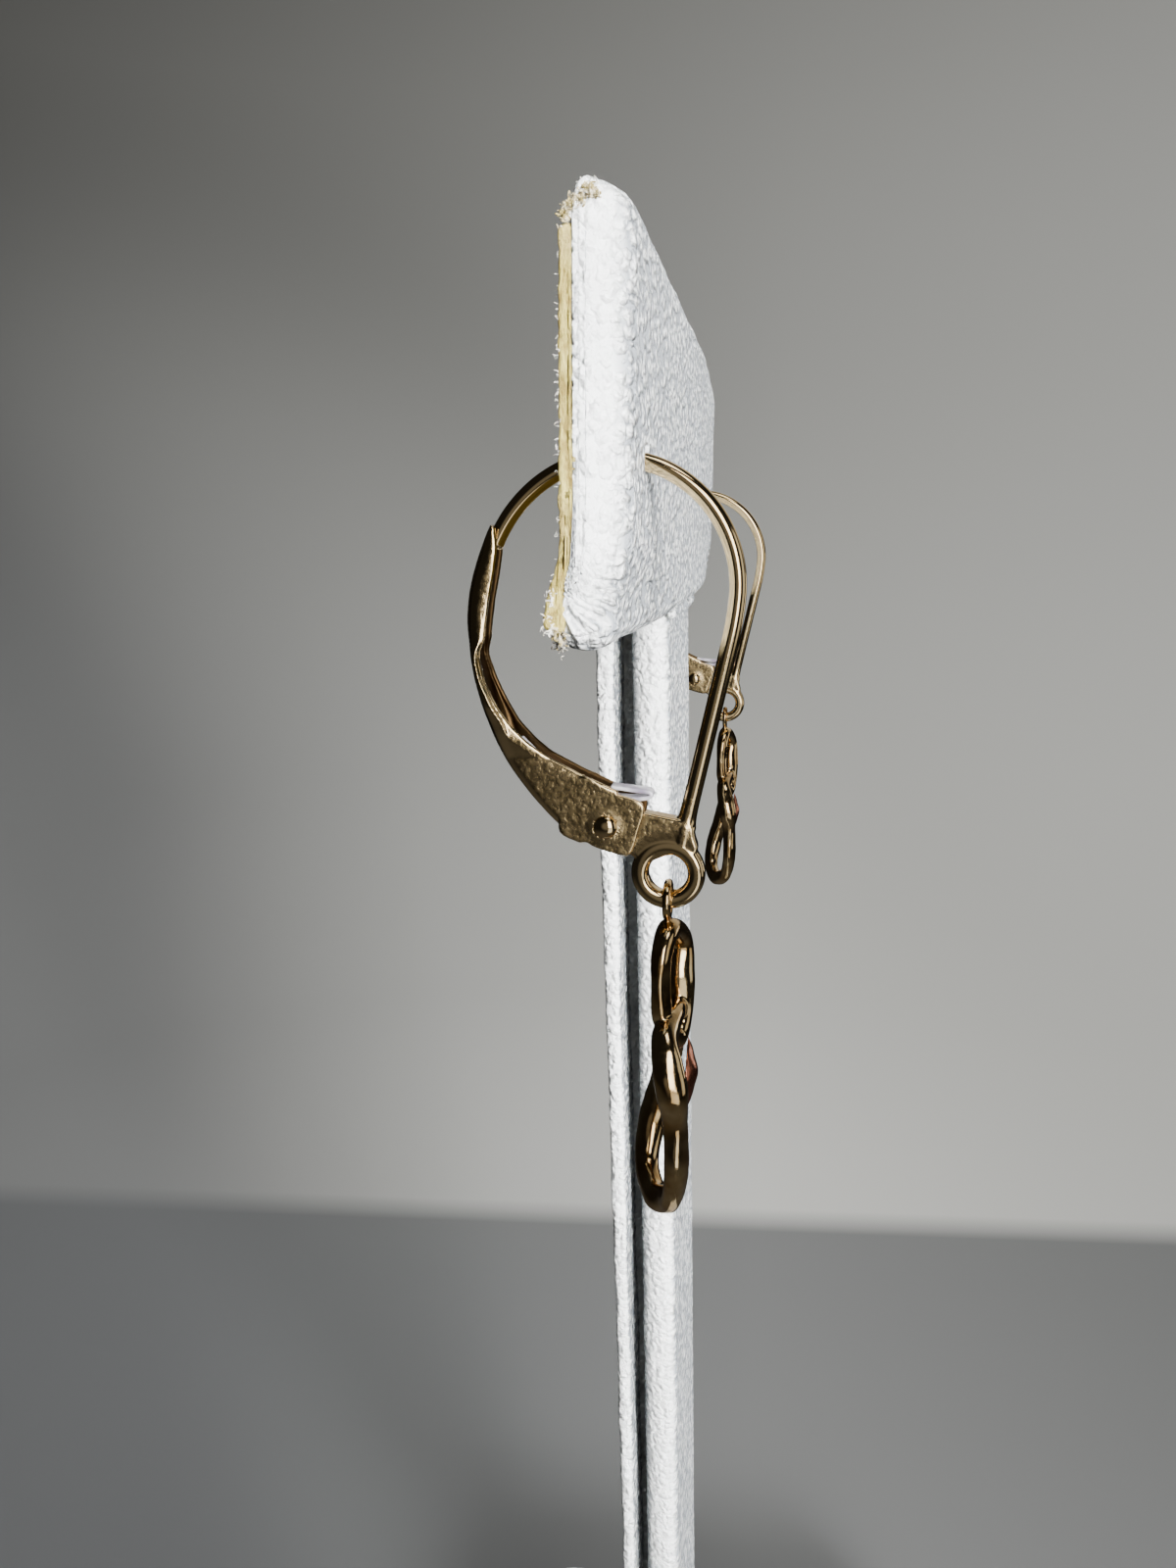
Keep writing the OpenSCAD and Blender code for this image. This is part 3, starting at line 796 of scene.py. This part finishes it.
def spring_shell():
    """The flat spring: a strip whose section is a squared circle, carried along its middle line, which gives
    its half thickness too."""
    table = blend_rows(SPRING_LINE, 10)
    line, half_thick = table[:, :2], table[:, 2:]
    up = quarter_turn(along(line))
    across, rise = squared_circle(turns(28), SPRING_POWER)
    rise = half_thick * rise
    return shell(grid(SPRING_HALF * across, *(line[:, i:i + 1] + rise * up[:, i:i + 1] for i in (0, 1))))


def rivet_shell():
    """The rivet: a shank with a low dome at each end, the dome's radius following a quarter ellipse."""
    a = np.linspace(0, math.pi / 2, 12)
    right = np.column_stack([SHANK_HALF + DOME_RISE * np.sin(a), DOME_R * np.cos(a) + 0.004])
    shank = [(-SHANK_HALF, SHANK_R), (SHANK_HALF, SHANK_R)]
    points, faces = lathe(np.vstack([right[::-1] * (-1, 1), shank, right]), 48)
    return points + (0, *PIVOT), faces


def loop_shell(table, seed):
    """One cast loop: a rounded oblong section whose half sizes and turn come from the table, carried round a
    closed curve and made a little uneven, as by hand work."""
    p = blend_rows(table, 14, loop=True)
    centre = p[:, None, :3]
    across, out = section_axes(along(p[:, :3], loop=True), (0.0, 1.0, 0.0))
    turn = np.radians(p[:, 5:6])
    across, out = across * np.cos(turn) + out * np.sin(turn), out * np.cos(turn) - across * np.sin(turn)
    c, s = squared_circle(turns(40), LOOP_POWER)
    push = (p[:, 3:4] * c)[..., None] * across[:, None] + (p[:, 4:5] * s)[..., None] * out[:, None]
    rows = centre + push
    return shell(rows + (rows - centre) * LOOP_UNEVEN * noise(rows, 1.8, seed, 2)[..., None], loop=True)


def drop_shells():
    """The bail, a thin ring across the eyelet, and the two loops."""
    a = turns(64)
    ring = np.column_stack([BAIL_R * np.cos(a), np.zeros(len(a)), BAIL_Z + BAIL_R * np.sin(a)])
    bail = tube(ring, BAIL_WIRE, 20, loop=True, across=(0.0, 1.0, 0.0))
    return [bail, loop_shell(UPPER_LOOP, 3), loop_shell(LOWER_LOOP, 5)]


def leaf_shell(length=2.9, width=1.7, rise=0.4):
    """A leaf: the lens |x| <= width/2 (1 - (2z/length)^2), domed to the front by rise times the share of the
    way in from its rim, with a groove along the middle and slanting veins."""
    around = turns(72)
    z = length / 2 * np.cos(around)
    x = width / 2 * np.sign(np.sin(around)) * np.sin(around) ** 2
    inner = np.linspace(1, 0.03, 16)[:, None]
    px, pz = x * inner, z * inner
    dome = rise * (1 - inner**2) + 0.06
    groove = 0.05 * np.exp(-(px / 0.12) ** 2)
    veins = 0.03 * np.cos(5 * (pz - 0.9 * np.abs(px))) * (1 - inner**2) - groove
    front, back = grid(px, -(dome + veins), pz), grid(px, 0.0, pz)
    points, faces = shell(np.concatenate([back[::-1], front]))
    c, s = math.cos(math.radians(LEAF_TURN)), math.sin(math.radians(LEAF_TURN))
    return points @ np.array([[c, 0, -s], [0, 1, 0], [s, 0, c]]) + LEAF_AT, faces


# Stand shapes, in millimetres from the middle of the base's underside

POST_T, STRIP_T = 2.0, 1.4
# How much thicker the strip gets towards its top, and how deep the slot between it and the post is
STRIP_SWELL, SLOT_DEPTH = 0.4, 4.6
# Half length and radius of the roll of cover under the head bar
ROLL_HALF, ROLL_R = 6.7, 0.34
# The largest radius at the end of a bar
END_ZONE = 3.2
# How far the bar's worn corners curl back at the near and the far end
NEAR_FLARE, FAR_FLARE = 0.54, 0.3
# Points round a wrapped board
BOARD_COLUMNS = 300


def flared(rows, low_z=BOTTOM):
    """The bar's worn lower corners curl back: y grows smoothly from 3.8 mm to 1 mm above the bottom."""
    flare = NEAR_FLARE * smooth(-rows[..., 0], 12, 24) + FAR_FLARE * smooth(rows[..., 0], 14, 25)
    rows[..., 1] += flare * smooth(low_z + 3.8 - rows[..., 2], 0, 2.8)
    return rows


def bar(outline, x_ends, y_faces, z_faces, end_radii, wires=()):
    """A bar along X from an outline in y and z. Near an end the front, back, top and bottom are drawn in by
    quarter circles of their own radii, given as [near end, far end] and shared out linearly across the
    section, and the last rows close to the section's middle line. Rows are closer together at the ends and
    round each wire."""
    (x_low, x_high), (front, back), (bottom, top) = x_ends, y_faces, z_faces
    edge = END_ZONE * (1 - np.cos(np.linspace(0, math.pi / 2, 26)))
    between = np.linspace(x_low + END_ZONE + 0.2, x_high - END_ZONE - 0.2, 110)
    x = np.concatenate([x_low + edge, x_high - edge, between])
    for wire in wires:
        x = np.append(x, wire + np.linspace(-0.9, 0.9, 15))
    x = np.unique(x.round(4))
    e = np.minimum(x - x_low, x_high - x)[:, None]
    y, z = outline.T
    ahead = np.clip((back - y) / (back - front), 0, 1)
    up = (2 * z - top - bottom) / (top - bottom)
    at_front, at_back, at_top, at_bottom = (
        turned_in(e, np.where(x < 0, *end_radii[face])[:, None])
        for face in ("front", "back", "top", "bottom")
    )
    y = y + ahead * at_front - (1 - ahead) * at_back
    z = z - np.clip(up, 0, 1) * at_top + np.clip(-up, 0, 1) * at_bottom
    rows = grid(x[:, None], y, z)
    closing = 1 - np.linspace(0.12, 0.96, 9)[:, None, None]
    caps = []
    for row in (rows[:1], rows[-1:]):
        low, high = row.min(1, keepdims=True), row.max(1, keepdims=True)
        middle, size = (low + high) / 2, high - low
        closing_z = 1 - (1 - closing) * size[..., 1:2] / size[..., 2:]
        share = np.concatenate([np.ones_like(closing), closing, closing_z], -1)
        caps.append(middle + (row - middle) * share)
    return np.concatenate([caps[0][::-1], rows, caps[1]])


def head_shell():
    """The wrapped head bar: its cover laps over the top of the backing, is dented round each wire, and is
    gathered in fanned pleats at the lower corner of each end."""
    front, back = HEAD_LOW[1], HEAD_HIGH[1]
    outline = rounded_outline([
        (front, BOTTOM, 1.0), (front, TOP, 0.9), (back - 0.3, TOP, 0.3), (back + 0.55, TOP - 0.95, 0.25),
        (back - 0.03, TOP - 1.5, 0.2), (back - 0.03, BOTTOM + 1.1, 0.3), (back + 0.4, BOTTOM, 0.45),
    ], BOARD_COLUMNS)
    end_radii = {"front": (1.8, 1.6), "back": (0.25, 0.25), "top": (0.2, 3.2), "bottom": (1.9, 2.2)}
    rows = bar(outline, (HEAD_LOW[0], HEAD_HIGH[0]), (front, back), (BOTTOM, TOP), end_radii, WIRES_X)
    ahead = smooth(back - rows[..., 1], 0.5, 1.2)
    for x in WIRES_X:
        r = np.hypot(rows[..., 0] - x, rows[..., 2] - HOLE_Z)
        rows[..., 1] += 0.5 * np.exp(-((r / 0.5) ** 4)) * ahead
    # The front stands further back towards the far end.
    rows[..., 1] += 0.6 * smooth(rows[..., 0], 4, 27) * smooth(back - rows[..., 1], 0, 1.6)
    rows = flared(rows)
    lift = 0.03 * noise(rows, 5.0, 31) + 0.02 * noise(rows, 1.3, 32)
    past_end = smooth(np.abs(rows[..., 0]), 24.4, 26.4)
    # The pleats fan out from here.
    from_y, from_z = back + 0.9 - rows[..., 1], rows[..., 2] - BOTTOM - 2.6
    angle, reach = np.arctan2(from_z, from_y), np.hypot(from_y, from_z)
    fan = np.cos(26 * angle + 2.2 * noise(rows, 2.2, 33, 1))
    fan *= smooth(reach, 0.3, 0.9) * (1 - smooth(reach, 1.9, 3.2)) * (1 - smooth(from_z, -0.2, 0.9))
    ripple = np.cos(7.5 * rows[..., 2] + 3 * noise(rows, 2.0, 34, 1)) * (1 - smooth(from_y, 0.9, 1.6))
    lift += (0.12 * fan + 0.018 * ripple) * past_end
    rows += lift[..., None] * outward(rows)
    return shell(rows)


def card_shell():
    """The backing card: cut by hand, so its faces wander by a few hundredths of a millimetre."""
    low, high = corners("head_backing")
    front, back = low[1] - 0.1, high[1] - 0.08
    bottom, top = low[2] + 0.7, high[2] - 1.25
    outline = rounded_outline([
        (front, bottom, 0.12), (front, top, 0.12), (back, top, 0.25), (back, bottom, 0.2),
    ], BOARD_COLUMNS)
    end_radii = {"front": (0.12, 0.12), "back": (0.15, 0.15), "top": (0.3, 3.0), "bottom": (0.4, 0.6)}
    rows = bar(outline, (low[0] + 0.02, high[0] - 0.02), (front, back), (bottom, top), end_radii)
    rows = flared(rows, low[2])
    rows += (0.05 * noise(rows, 1.8, 41) + 0.035 * noise(rows, 0.5, 42))[..., None] * outward(rows)
    return shell(rows)


def fibres(spots, spread, lean, count, length, radius, seed):
    """Loose fibres: each is a thin tube along start + way s + curl sin(k s), half as thick at its end, with
    seeded starts, ways, lengths and curls."""
    rng = np.random.default_rng(seed)
    made = []
    s = np.linspace(0, 1, 7)[:, None]
    spots = np.asarray(spots, float)
    for _ in range(count):
        start = spots[rng.integers(len(spots))] + rng.normal(0, 1, 3) * spread
        way = unit(rng.normal(0, 1, 3) + lean)
        curl = np.cross(way, rng.normal(0, 1, 3))
        path = start + way * s * length * rng.uniform(0.5, 1.2)
        path = path + curl * length * 0.3 * np.sin(s * rng.uniform(2, 5))
        made.append(tube(path, radius * rng.uniform(0.7, 1.3) * (1 - 0.5 * s[:, 0]), 5))
    return made


def near_end(out, *spots):
    """Spots of y and z at the head's near end, so far out from the cover."""
    return [(HEAD_LOW[0] + 0.15 - out, y, z) for y, z in spots]


# The cover's back edge at the near end, from bottom to top
COVER_EDGE = flared(np.array(near_end(0, *((7.26, BOTTOM + h) for h in np.linspace(0.8, 12.4, 40)))))
# The loose fibres' pieces: name, finish and bunches. Each bunch starts round its spots and leans one way.
LOOSE_FIBRES = (
    ("card_core_fuzz", "straw_card_torn", (
        dict(spots=near_end(0.1, (6.3, TOP - 0.42), (6.15, TOP - 0.5), (6.55, TOP - 0.7), (6.85, TOP - 0.8),
                            (7.0, TOP - 1.15)),
             spread=(0.06, 0.09, 0.09), lean=(-0.5, 0.3, 0.1), count=260, length=0.16, radius=0.04, seed=61),
        dict(spots=near_end(0, (7.35, BOTTOM + 0.7), (7.2, BOTTOM + 0.5)),
             spread=(0.1, 0.06, 0.1), lean=(-0.5, 0.3, -0.6), count=26, length=0.3, radius=0.04, seed=62),
    )),
    ("cloth_back_fray", "cotton_back_frayed", (
        dict(spots=COVER_EDGE,
             spread=(0.1, 0.03, 0.1), lean=(-0.2, 0.8, 0.0), count=90, length=0.13, radius=0.014, seed=63),
        dict(spots=near_end(0, (6.8, TOP - 0.85), (7.0, TOP - 1.1), (6.5, TOP - 0.3), (6.1, TOP - 0.2)),
             spread=(0.1, 0.07, 0.08), lean=(0.1, 0.5, 0.5), count=60, length=0.15, radius=0.02, seed=65),
        dict(spots=near_end(0, (7.5, BOTTOM + 1.9), (7.54, BOTTOM + 1.4), (7.5, BOTTOM + 0.95)),
             spread=(0.1, 0.05, 0.14), lean=(-0.4, 0.3, -0.2), count=110, length=0.17, radius=0.03, seed=64),
    )),
    ("soiled_threads", "cotton_back_soiled", (
        dict(spots=near_end(0.05, (7.3, BOTTOM + 0.55), (7.15, BOTTOM + 0.35)),
             spread=(0.1, 0.08, 0.12), lean=(-0.4, 0.4, -0.5), count=40, length=0.22, radius=0.03, seed=66),
    )),
)


def upright(node, section, front_of, back_of, seed, rough):
    """A wrapped board standing on end: a rounded section whose corner rows are x, share of the thickness and
    radius. A point's y is front + share (back - front), and front and back follow the height. The ends are
    drawn in by quarter circles, and the skin is roughened along its normals."""
    low, high = corners(node)
    z = np.linspace(low[2] + 0.3, high[2] - 0.3, 260)
    rim = np.array([0.0, 0.03, 0.1, 0.2])
    z = np.concatenate([low[2] + rim, z, high[2] - rim[::-1]])
    thick = np.mean(back_of(z) - front_of(z))
    outline = rounded_outline(np.asarray(section, float) * (1, thick, 1), BOARD_COLUMNS)
    e = np.minimum(z - low[2], high[2] - z)
    inset = turned_in(e, 0.3)[:, None]
    share = 0.5 + (outline[:, 1] / thick - 0.5) * (1 - 2 * inset / thick)
    front, back = front_of(z)[:, None], back_of(z)[:, None]
    rows = grid(outline[:, 0] * (1 - inset / high[0]), front + (back - front) * share, z[:, None])
    lift = noise(rows * (1, 1, 0.6), 3.0, seed) + 0.6 * noise(rows, 0.8, seed + 1)
    return shell(rows + (rough * lift * smooth(e, 0, 0.6)[:, None])[..., None] * outward(rows))


def leaning(node, t):
    """Height to the y of a leaning board's front face, from its box and its thickness."""
    low, high = corners(node)
    slope = (high[1] - low[1] - t) / (high[2] - low[2])
    return lambda z: low[1] + (z - low[2]) * slope


def post_shell():
    """The post: its back edges are rounder than its front ones."""
    front = leaning("stand_post", POST_T)
    half = corners("stand_post")[1][0]
    section = [(-half, 0, 0.7), (half, 0, 0.7), (half, 1, 1.25), (-half, 1, 1.25)]
    return upright("stand_post", section, front, lambda z: front(z) + POST_T - 0.02, 21, 0.02)


def strip_shell():
    """The back strip: soft-edged, its sides parted from the post by a slot, a little thicker towards the
    top, and stepped forward behind the head bar."""
    post_front = leaning("stand_post", POST_T)
    card_back = corners("head_backing")[1][1]
    half = corners("post_back_strip")[1][0]
    slot_x = half - SLOT_DEPTH

    def front(z):
        at_post = post_front(z) + POST_T + 0.05
        return at_post + (card_back + 0.06 - at_post) * smooth(z, BOTTOM - 0.1, BOTTOM + 0.5)

    def back(z):
        swell = smooth(z, 40, 96) * (1 - smooth(z, 103, 108))
        return post_front(z) + POST_T + STRIP_T + STRIP_SWELL * swell

    section = [
        (-slot_x, 0, 0.2), (slot_x, 0, 0.2), (slot_x + 0.3, 0.5, 0.1), (half, 0.44, 0.3),
        (half, 1, 0.45), (-half, 1, 0.45), (-half, 0.44, 0.3), (-slot_x - 0.3, 0.5, 0.1),
    ]
    return upright("post_back_strip", section, front, back, 23, 0.08)


def seam_roll():
    """The roll of cover where the post meets the head bar: a slightly wavy tube along X, whose radius is
    ROLL_R sqrt(1 - |x / ROLL_HALF|^8)."""
    x = np.linspace(-ROLL_HALF, ROLL_HALF, 60)
    path = np.column_stack([x, np.full(60, HEAD_LOW[1] + 0.6), BOTTOM - 0.05 + 0.05 * np.sin(1.3 * x)])
    return tube(path, ROLL_R * np.sqrt(np.clip(1 - (np.abs(x) / (ROLL_HALF + 0.01)) ** 8, 0.01, 1)), 24)


def base_shell():
    """The wrapped base: rings of one rounded outline, drawn in by quarter circles at the top and bottom rims
    and closed towards the middle. Its sides are a little uneven."""
    (half_x, half_y, top), corner_r, low_rim, top_rim = corners("stand_base")[1], 4, 0.5, 1.1
    outline = rounded_outline([
        (-half_x, -half_y, corner_r), (half_x, -half_y, corner_r), (half_x, half_y, corner_r),
        (-half_x, half_y, corner_r),
    ], 320)
    rim = np.linspace(0, math.pi / 2, 10)
    levels = [(s, 0.0) for s in (15.0, 10.0, 5.0, 2.0)]
    levels += [(low_rim * (1 - math.sin(r)), low_rim * (1 - math.cos(r))) for r in rim]
    levels += [(0.0, z) for z in np.linspace(0.9, top - 1.5, 22)]
    levels += [(top_rim * (1 - math.cos(r)), top - top_rim * (1 - math.sin(r))) for r in rim]
    levels += [(top_rim + s, top) for s in np.linspace(0.8, 16, 16)]
    inset, z = np.array(levels).T[..., None]
    rows = grid(outline[:, 0] * (1 - inset / half_x), outline[:, 1] * (1 - inset / half_y), z)
    free = smooth(rows[..., 2], 0.5, 2.0) * (1 - smooth(rows[..., 2], top - 0.6, top - 0.1))
    rows[..., :2] *= 1 - 0.0016 * (1 + noise(rows, 7.0, 51))[..., None] * free[..., None]
    return shell(rows)


# The far earring is fused at a coarser grain, because it is seen from further away.
GRAIN = {"left": 1.0, "right": 1.5}


class EARRING_OT_stand(bpy.types.Operator):
    """Builds the stand: base, post, back strip, wrapped head bar, its backing and the loose fibres."""

    bl_idname = "earring.stand"
    bl_label = "Build the stand"

    def execute(self, context):
        for name, made, finish, node in (
            ("base_cover", [base_shell()], "leatherette_embossed", "stand_base"),
            ("post_cover", [post_shell(), seam_roll()], "leatherette_embossed", "stand_post"),
            ("back_strip_cover", [strip_shell()], "leatherette_embossed", "post_back_strip"),
            ("head_cover", [head_shell()], "leatherette_embossed", "stand_head"),
            ("backing_card", [card_shell()], "straw_card_aged", "head_backing"),
        ):
            finished(mesh_object(name, made), "stand", finish, [node])
        for name, finish, bunches in LOOSE_FIBRES:
            made = [fibre for bunch in bunches for fibre in fibres(**bunch)]
            finished(mesh_object(name, made), "stand", finish, [])
        return {"FINISHED"}


class EARRING_OT_hooks(bpy.types.Operator):
    """Builds both ear hooks: wire, pivot plate and eyelet, soldered into one."""

    bl_idname = "earring.hooks"
    bl_label = "Build the ear hooks"

    def execute(self, context):
        for side, place in EYELETS.items():
            wire, lower = hook_shells()
            name = f"hook_{side}"
            low_part = fused(name + "_low", lower, GRAIN[side], passes=10)
            soldered = len(low_part.data.vertices)
            hook = joined(name, [low_part, mesh_object(name + "_wire", [wire])])
            write_shares(hook, "wire", np.arange(len(hook.data.vertices)) >= soldered)
            finished(hook, "stand", "yellow_gold_stamped", [f"ear_hook_{side}"], place)
        return {"FINISHED"}


class EARRING_OT_levers(bpy.types.Operator):
    """Builds both levers with their rivets and flat springs."""

    bl_idname = "earring.levers"
    bl_label = "Build the levers"

    def execute(self, context):
        for side, place in EYELETS.items():
            lever = fused(f"lever_sheet_{side}", lever_shells(), 0.8 * GRAIN[side], passes=6)
            write_shares(lever, "hollow", hollow_shares(lever))
            for made, finish, node in (
                (lever, "yellow_gold_stamped", "lever"),
                (mesh_object(f"rivet_pin_{side}", [rivet_shell()]), "yellow_gold_polished", "rivet"),
                (mesh_object(f"spring_strip_{side}", [spring_shell()]), "spring_steel_rolled", "spring_leaf"),
            ):
                finished(made, f"lever_{side}", finish, [f"{node}_{side}"], place)
        return {"FINISHED"}


class EARRING_OT_drops(bpy.types.Operator):
    """Builds both hanging drops with their leaves."""

    bl_idname = "earring.drops"
    bl_label = "Build the drops"

    def execute(self, context):
        for side, place in EYELETS.items():
            drop = fused(f"drop_loops_{side}", drop_shells(), GRAIN[side], passes=4)
            finished(drop, f"drop_{side}", "yellow_gold_polished", [f"drop_{side}"], place)
            leaf = mesh_object(f"rose_leaf_{side}", [leaf_shell()])
            finished(leaf, f"drop_{side}", "rose_gold_stamped", [f"leaf_{side}"], place)
        return {"FINISHED"}


# Stage, in metres

# The camera's place from the near eyelet, in millimetres, and its right, up and backward directions
CAMERA_AT = (-41.51, -3.90, 12.88)
CAMERA_AXES = ((0.16725, -0.98598, 0.0), (0.21743, 0.03688, 0.9754), (-0.96170, -0.16313, 0.2205))
CAMERA_LENS, SENSOR_WIDTH = 25.875, 36.0
# The floor is flat up to the first radius and then bends up with the second.
FLOOR_FLAT, FLOOR_BEND, FLOOR_COLUMNS = 0.2, 0.55, 96
# The room's own light: its bright wall panel, the wall behind the camera, the table top and the rest
PANEL_GLOW, CAMERA_SIDE_GLOW, TABLE_GLOW, ROOM_GLOW = 0.7, 0.14, 0.07, 0.012
# Soft boxes: name, place, width and height, power in watts, spread in degrees, and whether the gloss of a
# surface shows them
SOFT_BOXES = (
    ("side_box", (-0.05, -0.26, 0.12), (0.14, 0.22), 0.03, 120, True),
    ("window_card", (-0.335, -0.145, 0.18), (0.14, 0.30), 0.46, 120, True),
    ("top_box", (-0.14, -0.10, 0.45), (0.14, 0.14), 0.09, 120, True),
    ("low_card", (-0.25, -0.12, -0.03), (0.14, 0.14), 0.035, 120, True),
    ("edge_card", (0.17, -0.23, 0.08), (0.08, 0.08), 0.012, 120, True),
    ("key_box", (-0.25, -0.16, 0.15), (0.12, 0.12), 0.35, 40, False),
    ("front_box", (-0.12, -0.25, 0.15), (0.16, 0.12), 0.07, 50, False),
    ("over_box", (0.12, -0.16, 0.55), (0.5, 0.5), 0.85, 120, False),
    ("back_box", (0.0, 0.34, 0.36), (0.4, 0.4), 0.2, 110, False),
    ("wall_box", (0.05, -0.38, 0.60), (0.5, 0.5), 1.6, 100, False),
)
# All of them aim at the near eyelet but this one, which lights the backdrop.
AIMS = {"wall_box": (0.6, -0.15, 0.12)}


def set_camera(scene):
    """The camera at the photograph's viewing angle."""
    data = bpy.data.cameras.new("camera")
    data.lens, data.sensor_width, data.sensor_fit = CAMERA_LENS, SENSOR_WIDTH, "AUTO"
    data.clip_start, data.clip_end = 0.002, 20.0
    camera = in_scene("camera", data)
    place = np.array(EYELETS["left"]) + np.array(CAMERA_AT) * MM
    camera.matrix_world = Matrix(np.vstack([np.column_stack([*CAMERA_AXES, place]), (0, 0, 0, 1)]).tolist())
    scene.camera = camera


def lay_floor():
    """A pale floor that curves up into a backdrop all round: beyond the flat part its height is
    bend (1 - cos a) at radius flat + bend sin a. It is left out of reflections and bounces, which show the
    dark room and the soft boxes instead."""
    flat, bend = FLOOR_FLAT, FLOOR_BEND
    a = np.linspace(0, math.pi / 2, 20)
    r = np.concatenate([np.linspace(0.02, flat, 20), flat + bend * np.sin(a[1:]), [flat + bend] * 6])
    rise = np.concatenate([np.zeros(20), bend * (1 - np.cos(a[1:])), bend + np.linspace(0.1, 1.0, 6)])
    around = turns(FLOOR_COLUMNS)
    rows = grid(r[:, None] * np.cos(around), r[:, None] * np.sin(around), rise[:, None])
    middle = list(range(FLOOR_COLUMNS))
    mesh = new_mesh("studio_floor", rows.reshape(-1, 3), grid_faces(len(r), FLOOR_COLUMNS) + [middle])
    mesh.polygons.foreach_set("use_smooth", [True] * len(mesh.polygons))
    mesh.materials.append(painted("studio_paper_matt", studio_paper))
    floor = in_scene("studio_floor", mesh)
    floor.visible_glossy = floor.visible_diffuse = floor.visible_shadow = False


def light_room(scene):
    """The dark room: a bright panel high up on the far wall, towards the stand's front, a faint wall behind
    the camera and a fainter table top, each faded in by the direction's X, Y or Z."""
    world = bpy.data.worlds.new("studio_room")
    scene.world = world
    world.use_nodes = True
    tree = world.node_tree
    add = partial(add_node, tree)
    x, y, z = add("SeparateXYZ", {0: add("TexCoord").outputs["Generated"]}).outputs
    far_wall = add("MapRange", {0: x, 1: 0.3, 2: 0.8})
    high_up = add("MapRange", {0: z, 1: 0.02, 2: 0.25})
    to_front = add("MapRange", {0: y, 1: 0.35, 2: -0.05})
    panel = add("Math", {0: far_wall, 1: high_up}, operation="MULTIPLY")
    panel = add("Math", {0: panel, 1: to_front}, operation="MULTIPLY")
    camera_side = add("MapRange", {0: x, 1: -0.9, 2: -0.98, 4: CAMERA_SIDE_GLOW})
    table = add("MapRange", {0: z, 1: -0.35, 2: -0.75, 4: TABLE_GLOW})
    lit = add("Math", {0: camera_side, 1: table}, operation="ADD")
    lit = add("Math", {0: panel, 1: PANEL_GLOW, 2: lit}, operation="MULTIPLY_ADD")
    strength = add("Math", {0: lit, 1: ROOM_GLOW}, operation="ADD")
    shade = tree.nodes["Background"]
    shade.inputs["Color"].default_value = (1.0, 0.98, 0.94, 1)
    tree.links.new(strength.outputs[0], shade.inputs["Strength"])


def hang_soft_boxes():
    """The soft boxes, each turned to what it aims at."""
    for name, place, size, power, spread, shows in SOFT_BOXES:
        data = bpy.data.lights.new(name, "AREA")
        data.shape, data.size, data.size_y, data.energy = "RECTANGLE", *size, power
        data.spread = math.radians(spread)
        light = in_scene(name, data)
        light.location = place
        light.visible_glossy, light.visible_camera = shows, False
        light.rotation_mode = "QUATERNION"
        from_aim = Vector(place) - Vector(AIMS.get(name, EYELETS["left"]))
        light.rotation_quaternion = from_aim.to_track_quat("Z", "Y")


class EARRING_OT_stage(bpy.types.Operator):
    """Sets the camera, the pale floor, the backdrop and the soft studio lights."""

    bl_idname = "earring.stage"
    bl_label = "Set the stage"

    def execute(self, context):
        set_camera(context.scene)
        lay_floor()
        light_room(context.scene)
        hang_soft_boxes()
        return {"FINISHED"}


BUILDERS = (EARRING_OT_stand, EARRING_OT_hooks, EARRING_OT_levers, EARRING_OT_drops, EARRING_OT_stage)


class EARRING_PT_panel(bpy.types.Panel):
    """Lists the builders and the sizes and colours that they use."""

    bl_idname = "EARRING_PT_panel"
    bl_label = "Earrings on a stand"
    bl_space_type = "VIEW_3D"
    bl_region_type = "UI"
    bl_category = "Earrings"

    def draw(self, context):
        for group in (sizes(), colours()):
            for key in group.__annotations__:
                self.layout.prop(group, key)
        for builder in BUILDERS:
            self.layout.operator(builder.bl_idname)


CLASSES = (EarringSizes, EarringColours, *BUILDERS, EARRING_PT_panel)


def register():
    for c in CLASSES:
        bpy.utils.register_class(c)
    bpy.types.Scene.earring_sizes = PointerProperty(type=EarringSizes)
    bpy.types.Scene.earring_colours = PointerProperty(type=EarringColours)


def unregister():
    del bpy.types.Scene.earring_colours
    del bpy.types.Scene.earring_sizes
    for c in reversed(CLASSES):
        bpy.utils.unregister_class(c)


def main():
    register()
    bpy.ops.earring.stand()
    bpy.ops.earring.hooks()
    bpy.ops.earring.levers()
    bpy.ops.earring.drops()
    bpy.ops.earring.stage()


if __name__ == "__main__":
    main()
